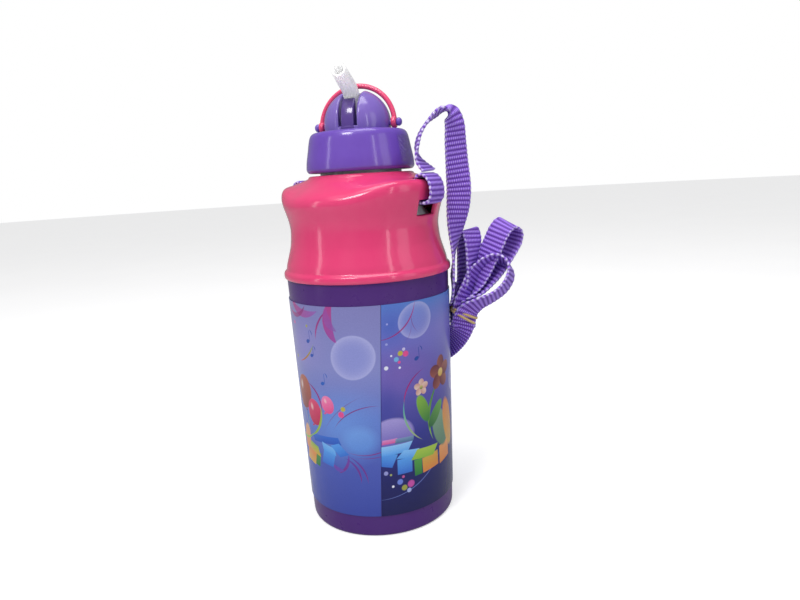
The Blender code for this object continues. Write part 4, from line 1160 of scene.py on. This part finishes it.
class BOTTLE_OT_cap(bpy.types.Operator):
    """Turn the screw cap and shape the spout's dome"""
    bl_idname = "bottle.cap"
    bl_label = "Cap and dome"

    def execute(self, context):
        sizes, colours = context.scene.bottle_sizes, context.scene.bottle_colours
        colour = tuple(colours.cap)
        outer = [(21.2, 160.5), (22.0, 160.2), (23.2, 160.3), (24.0, 161.2), (24.2, 162.2),
                 (23.95, 165.0), (23.5, 167.5), (23.0, 170.0), (22.45, 173.0), (21.9, 175.2),
                 (21.2, 176.5), (20.2, 177.25), (18.8, CAP_TOP)]
        profile = [(0.0, CAP_TOP)] + [tuple(p) for p in reversed(flowing(outer, 4))]
        profile += [(20.2, 160.8), (19.9, 161.4), (19.9, 174.9), (0.0, 174.9)]
        material = grip_material(colour, sizes.grip_pitch)
        finished("cap_shell", lathe(profile, 192), material, "cap", ["screw_cap"])
        self.dome(colour)
        seal = lathe([(15.4, 173.35), (19.2, 173.35), (19.2, 174.55), (15.4, 174.55)], 96, True)
        rubber = plastic("seal_white", (0.82, 0.82, 0.79), (0.86, 0.86, 0.84), 0.6, 0.3, 0.0)
        finished("seal_ring", seal, rubber, "seal", ["cap_seal"])
        return {"FINISHED"}

    def dome(self, colour):
        """Two cheeks turned about X with soft slot edges, a back, a floor and a rib."""
        foot = CAP_TOP + 0.3 - PIVOT_Z
        slot_floor = foot + 1.2
        bm = bmesh.new()
        for side in (-1, 1):
            self.about_x(bm, self.cheek_outline(), side, [((0, 0, foot), (0, 0, -1))])
        band = [(BACK_HALF, 0.0)]
        for i in range(13):
            x = BACK_HALF * (1 - i / 6)
            band.append((x, math.sqrt((DOME_RADIUS + 0.015) ** 2 - x * x)))
        band.append((-BACK_HALF, 0.0))
        self.about_x(bm, band, 1, [((0, 0, foot), (0, 0, -1)), ((0, BACK_FRONT, 0), (0, -1, 0))])
        floor = lathe([(0.0, foot), (14.5, foot), (14.5, slot_floor - 0.3), (14.2, slot_floor),
                       (0.0, slot_floor)], 96)
        take(bm, floor)
        take(bm, self.rib(foot))
        moved(bm, (0, 0, PIVOT_Z))
        material = plastic("dome_purple", lighter(colour, 0.04), lighter(colour, 0.2), 0.18, 0.1,
                           1.0)
        # Painted shade on the rib and the slot in front of the spout.
        self.paint_rib_shade(material)
        finished("dome", bm, material, "cap", ["spout_dome"], 35.0)

    def paint_rib_shade(self, material):
        """Painted shade: the rib and the slot in front of the spout are darkened towards deep
        purple.
        """
        tree, shader = Tree(material.node_tree), material.node_tree.nodes["Principled BSDF"]
        place = tree.object_place()
        aside = tree.math("ABSOLUTE", tree.part(place, 0))
        between = tree.math("LESS_THAN", aside, (RIB_HALF + 0.3) * MM)
        ahead = tree.math("LESS_THAN", tree.part(place, 1), -0.004)
        rib = tree.math("MULTIPLY", tree.math("MULTIPLY", between, ahead), 0.6)
        skin = shader.inputs["Base Color"].links[0].from_socket
        tree.link(tree.mix(rib, skin, (0.04, 0.008, 0.13, 1)),
                            shader.inputs["Base Color"])

    def cheek_outline(self):
        """(distance along X, radius) from the slot's face to the pole."""
        ease, drop = 0.9, 0.55      # the rounding of the slot's edge, across and down
        face_reach = math.sqrt(DOME_RADIUS ** 2 - (SLOT_HALF + ease) ** 2)
        points = [(SLOT_HALF, 0.0), (SLOT_HALF, face_reach - drop)]
        for i in range(1, 6):
            turn = math.pi / 2 * i / 6
            points.append((SLOT_HALF + ease * (1 - math.cos(turn)),
                           face_reach - drop + drop * math.sin(turn)))
        for i in range(29):
            x = SLOT_HALF + ease + (DOME_RADIUS - SLOT_HALF - ease) * math.sin(
                math.pi / 2 * i / 28)
            points.append((x, math.sqrt(max(0.0, DOME_RADIUS ** 2 - x * x))))
        return points

    def about_x(self, bm, outline, side, cuts):
        """Spin an outline round X, cut it by planes, close it and add it to bm."""
        part = bmesh.new()
        spun(part, outline_edges(part, outline, False, side), 96, axis=(1, 0, 0))
        tidied(part)
        for place, outward in cuts:
            bmesh.ops.bisect_plane(part, geom=part.verts[:] + part.edges[:] + part.faces[:],
                                   plane_co=place, plane_no=outward, clear_outer=True)
            bmesh.ops.holes_fill(part, edges=boundary(part), sides=0)
        bmesh.ops.recalc_face_normals(part, faces=part.faces)
        take(bm, part)

    def rib(self, foot):
        """The wall between the cheeks that the spout is pinched against."""
        reach, bend = DOME_RADIUS - 0.7, BEND_RADIUS - 3.8
        low = foot + 0.6
        outline = [(SPOUT_Y - 3.8, low)]
        for i in range(5):
            turn = math.radians(31.0 * i / 4)
            outline.append((SPOUT_Y - BEND_RADIUS + bend * math.cos(turn),
                            BEND_LOW - PIVOT_Z + bend * math.sin(turn)))
        for i in range(9):
            turn = math.radians(46.0 * (1 - i / 8))
            outline.append((-reach * math.cos(turn), reach * math.sin(turn)))
        outline.append((-reach, low))
        part = bmesh.new()
        verts = [part.verts.new((-RIB_HALF, y, z)) for y, z in outline]
        face = part.faces.new(verts)
        made = bmesh.ops.extrude_face_region(part, geom=[face])["geom"]
        moved(part, (2 * RIB_HALF, 0, 0), verts_in(made))
        bmesh.ops.recalc_face_normals(part, faces=part.faces)
        sides = [e for e in part.edges if abs(e.verts[0].co.x - e.verts[1].co.x) < 1e-6]
        rounded(part, sides, 0.5)
        return part


class BOTTLE_OT_bail(bpy.types.Operator):
    """Bend the bail over the dome and set its two pins"""
    bl_idname = "bottle.bail"
    bl_label = "Bail and pins"

    def execute(self, context):
        colours = context.scene.bottle_colours
        bm = bmesh.new()
        ring, edges = circle(bm, 20, 1.0)
        bmesh.ops.scale(bm, vec=(1.12, 1.3, 1.0), verts=ring)
        moved(bm, (BAIL_RADIUS, 0, 0), ring)
        start, end = math.radians(2.0), math.radians(178.0)
        turned(bm, -start, "Y", ring)
        spun(bm, ring + edges, 72, axis=(0, -1, 0), angle=end - start, merge=False)
        for side in (-1, 1):
            self.eye(bm, side)
        bmesh.ops.recalc_face_normals(bm, faces=bm.faces)
        turned(bm, BAIL_REST, "X")
        moved(bm, (0, 0, PIVOT_Z))
        colour = tuple(colours.bail)
        material = plastic("bail_pink", colour, lighter(colour, 0.1), 0.22, 0.1, 0.4)
        finished("bail_loop", bm, material, "bail", ["bail"])
        self.pins(tuple(colours.cap))
        return {"FINISHED"}

    def eye(self, bm, side):
        """A round boss with a pin hole, turned about X."""
        outline = [(15.7, 1.35), (15.7, 2.0), (15.95, 2.4), (16.4, 2.55), (17.2, 2.55),
                   (17.65, 2.4), (17.9, 2.0), (17.9, 1.35)]
        spun(bm, outline_edges(bm, outline, True, side), 40, axis=(1, 0, 0))
        bmesh.ops.remove_doubles(bm, verts=bm.verts, dist=1e-4)

    def pins(self, colour):
        material = plastic("pin_purple", colour, lighter(colour, 0.16), 0.22, 0.1, 0.4)
        for label, side in (("left", -1), ("right", 1)):
            outline = [(0.0, 11.0), (1.1, 11.0), (1.1, 18.0), (1.5, 18.1), (1.75, 18.5),
                       (1.8, 19.0), (1.6, 19.6), (1.1, 20.1), (0.5, 20.28), (0.0, 20.3)]
            bm = lathe(outline, 32)
            turned(bm, side * math.pi / 2, "Y")
            moved(bm, (0, 0, PIVOT_Z))
            finished(f"pin_{label}", bm, material, "cap", [f"bail_pin_{label}"])


class BOTTLE_OT_spout(bpy.types.Operator):
    """Bend the soft spout forward and push the straw on below"""
    bl_idname = "bottle.spout"
    bl_label = "Spout and straw"

    def execute(self, context):
        colour = tuple(context.scene.bottle_colours.spout)
        material, tree, shader = new_material("silicone_white")
        skin = skinned(tree, colour, (0.93, 0.94, 0.96), 0.36, 0.1)
        # Painted glow: a faint white emission (strength 0.05) lightens the silicone as if light
        # shone through it.
        tree.feed(shader, {"Roughness": skin["Roughness"], "Normal": skin["Normal"],
                           "Base Color": skin["Colour"], "Subsurface Weight": 0.5,
                           "Subsurface Radius": (0.004, 0.004, 0.004), "Subsurface Scale": 1.0,
                           "Emission Color": (1.0, 1.0, 1.0, 1.0), "Emission Strength": 0.05,
                           "IOR": 1.41})
        spout = smooth_object("soft_spout", self.tube(), material, 50.0)
        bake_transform(spout)
        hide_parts("spout_root", "spout")
        straw = lathe([(3.05, 9.5), (4.0, 9.5), (4.0, 169.5), (3.05, 169.5)], 48, True)
        moved(straw, (0, SPOUT_Y, 0))
        clear = plastic("straw_clear", (0.86, 0.9, 0.94), (0.9, 0.93, 0.96), 0.2, 0.1, 0.2,
                        Transmission_Weight=0.4)
        finished("straw", straw, clear, "cap", ["straw_tube"])
        return {"FINISHED"}

    def tube(self):
        """Up the outside, round the rim, and back down the bore."""
        bm = bmesh.new()
        ring, first = circle(bm, 40, SPOUT_RADIUS)
        moved(bm, (0, SPOUT_Y, SPOUT_FOOT), ring)
        bend = Vector((0, SPOUT_Y - BEND_RADIUS, BEND_LOW))
        ahead = Vector((0, -math.sin(SPOUT_LEAN), math.cos(SPOUT_LEAN)))
        edges = self.drawn(bm, first, (0, 0, BEND_LOW - SPOUT_FOOT), 6)
        edges = self.bent(bm, edges, bend, SPOUT_LEAN, 20)
        # how far along the straight end, and the size there: outside, rim and bore
        shares = ((0.25, 0.985), (0.5, 0.96), (0.75, 0.93), (0.93, 0.9), (0.985, 0.865),
                  (1.0, 0.80), (1.0, 0.72), (0.985, 0.66), (0.9, 0.63), (0.5, 0.63), (0.0, 0.63))
        base = bend + Vector((0, BEND_RADIUS * math.cos(SPOUT_LEAN),
                              BEND_RADIUS * math.sin(SPOUT_LEAN)))
        for share, size in shares:
            edges = self.ring_at(bm, edges, base + ahead * SPOUT_REACH * share, ahead,
                                 size * SPOUT_RADIUS)
        edges = self.bent(bm, edges, bend, -SPOUT_LEAN, 20)
        edges = self.drawn(bm, edges, (0, 0, SPOUT_FOOT - BEND_LOW), 6)
        bmesh.ops.bridge_loops(bm, edges=edges + first)
        return tidied(bm)

    def drawn(self, bm, edges, way, pieces):
        """Extrude a ring straight on, in equal pieces."""
        for _ in range(pieces):
            made = bmesh.ops.extrude_edge_only(bm, edges=edges)["geom"]
            moved(bm, Vector(way) / pieces, verts_in(made))
            edges = self.far_edges(made)
        return edges

    def bent(self, bm, edges, centre, angle, steps):
        """Spin a ring about the bend's own centre."""
        made = bmesh.ops.spin(bm, geom=edges + list({v for e in edges for v in e.verts}),
                              cent=centre, axis=(1, 0, 0), angle=angle, steps=steps)
        return [e for e in made["geom_last"] if isinstance(e, bmesh.types.BMEdge)]

    def ring_at(self, bm, edges, centre, ahead, radius):
        """Extrude a ring to a new centre and radius."""
        made = bmesh.ops.extrude_edge_only(bm, edges=edges)["geom"]
        verts = verts_in(made)
        middle = sum((v.co for v in verts), Vector()) / len(verts)
        for vert in verts:
            off = vert.co - middle
            off -= ahead * off.dot(ahead)
            vert.co = centre + off.normalized() * radius
        return self.far_edges(made)

    def far_edges(self, made):
        """The new ring's edges."""
        verts = set(verts_in(made))
        return [e for e in made if isinstance(e, bmesh.types.BMEdge)
                and e.verts[0] in verts and e.verts[1] in verts]


# ---- stage --------------------------------------------------------------------------------------
class BOTTLE_OT_stage(bpy.types.Operator):
    """Set the camera, the pale floor and the soft studio lights"""
    bl_idname = "bottle.stage"
    bl_label = "Stage"

    def execute(self, context):
        scene = context.scene
        scene.view_settings.view_transform = "Standard"
        self.camera(scene)
        self.floor(scene, tuple(scene.bottle_colours.floor))
        self.lights(scene)
        return {"FINISHED"}

    def camera(self, scene):
        pitch, yaw, roll = (math.radians(v) for v in CAMERA_PITCH_YAW_ROLL)
        ahead = Vector((math.sin(yaw) * math.cos(pitch), math.cos(yaw) * math.cos(pitch),
                        -math.sin(pitch)))
        right = Vector((math.cos(yaw), -math.sin(yaw), 0))
        up = right.cross(ahead)
        side = right * math.cos(roll) + up * math.sin(roll)
        top = -right * math.sin(roll) + up * math.cos(roll)
        turn = Matrix((side, top, -ahead)).transposed().to_4x4()
        data = bpy.data.cameras.new("camera")
        data.sensor_width = CAMERA_SENSOR
        data.lens = CAMERA_LENS
        data.clip_start = 0.01
        camera = bpy.data.objects.new("camera", data)
        camera.matrix_world = (Matrix.Rotation(HANK_TURN, 4, "Z")
                               @ Matrix.Translation(CAMERA_PLACE) @ turn)
        scene.collection.objects.link(camera)
        scene.camera = camera

    def floor(self, scene, colour):
        bm = bmesh.new()
        bmesh.ops.create_circle(bm, cap_ends=True, segments=96, radius=6.0)
        mesh = bpy.data.meshes.new("floor")
        bm.to_mesh(mesh)
        bm.free()
        material, tree, shader = new_material("floor_pale")
        base = tree.mix(tree.noise(tree.object_place(), 8.0, 4.0), (*colour, 1),
                        (*lighter(colour, 0.15), 1))
        tree.feed(shader, {"Base Color": base, "Roughness": 0.75, "Specular IOR Level": 0.2,
                           "Emission Color": (1.0, 1.0, 1.0, 1.0)})
        seen = tree.add("ShaderNodeLightPath").outputs["Is Camera Ray"]
        tree.link(tree.math("MULTIPLY", seen, 0.5), shader.inputs["Emission Strength"])
        mesh.materials.append(material)
        floor = bpy.data.objects.new("floor", mesh)
        scene.collection.objects.link(floor)

    def lights(self, scene):
        world = bpy.data.worlds.new("studio")
        scene.world = world
        world.use_nodes = True
        tree = Tree(world.node_tree)
        seen = tree.add("ShaderNodeLightPath").outputs["Is Camera Ray"]
        background = world.node_tree.nodes["Background"]
        background.inputs[0].default_value = (1.0, 1.0, 1.0, 1.0)
        tree.link(tree.math("MULTIPLY_ADD", seen, 0.7, 0.3), background.inputs[1])
        face = Matrix.Rotation(HANK_TURN, 3, "Z")
        for name, place, size, power, tint in LIGHTS:
            data = bpy.data.lights.new(name, "AREA")
            data.shape = "RECTANGLE"
            data.size, data.size_y = size
            data.energy = power
            data.color = tint
            light = bpy.data.objects.new(name, data)
            where = face @ Vector(place)
            light.location = where
            light.rotation_euler = (LIGHT_AIM - where).to_track_quat("-Z", "Y").to_euler()
            light.visible_camera = False
            scene.collection.objects.link(light)
        sun = bpy.data.lights.new("sky_softbox", "SUN")
        sun.energy = SKY_POWER
        sun.angle = math.radians(SKY_SPREAD)
        light = bpy.data.objects.new("sky_softbox", sun)
        light.rotation_euler = (face @ Vector(SKY_FROM)).to_track_quat("Z", "Y").to_euler()
        scene.collection.objects.link(light)


class BOTTLE_PT_panel(bpy.types.Panel):
    bl_label = "Kids Water Bottle"
    bl_idname = "BOTTLE_PT_panel"
    bl_space_type = "VIEW_3D"
    bl_region_type = "UI"
    bl_category = "Bottle"

    def draw(self, context):
        for operator in OPERATORS:
            self.layout.operator(operator.bl_idname)
        for group in (context.scene.bottle_sizes, context.scene.bottle_colours):
            for name in group.__annotations__:
                self.layout.prop(group, name)


OPERATORS = (BOTTLE_OT_stage, BOTTLE_OT_strap, BOTTLE_OT_cup, BOTTLE_OT_film, BOTTLE_OT_collar,
             BOTTLE_OT_cap, BOTTLE_OT_bail, BOTTLE_OT_spout)
CLASSES = (BottleSizes, BottleColours, *OPERATORS, BOTTLE_PT_panel)


def register():
    for cls in CLASSES:
        bpy.utils.register_class(cls)
    bpy.types.Scene.bottle_sizes = PointerProperty(type=BottleSizes)
    bpy.types.Scene.bottle_colours = PointerProperty(type=BottleColours)


def unregister():
    del bpy.types.Scene.bottle_colours
    del bpy.types.Scene.bottle_sizes
    for cls in reversed(CLASSES):
        bpy.utils.unregister_class(cls)


def main():
    register()
    bpy.ops.bottle.stage()
    bpy.ops.bottle.strap()
    bpy.ops.bottle.cup()
    bpy.ops.bottle.film()
    bpy.ops.bottle.collar()
    bpy.ops.bottle.cap()
    bpy.ops.bottle.bail()
    bpy.ops.bottle.spout()


if __name__ == "__main__":
    main()
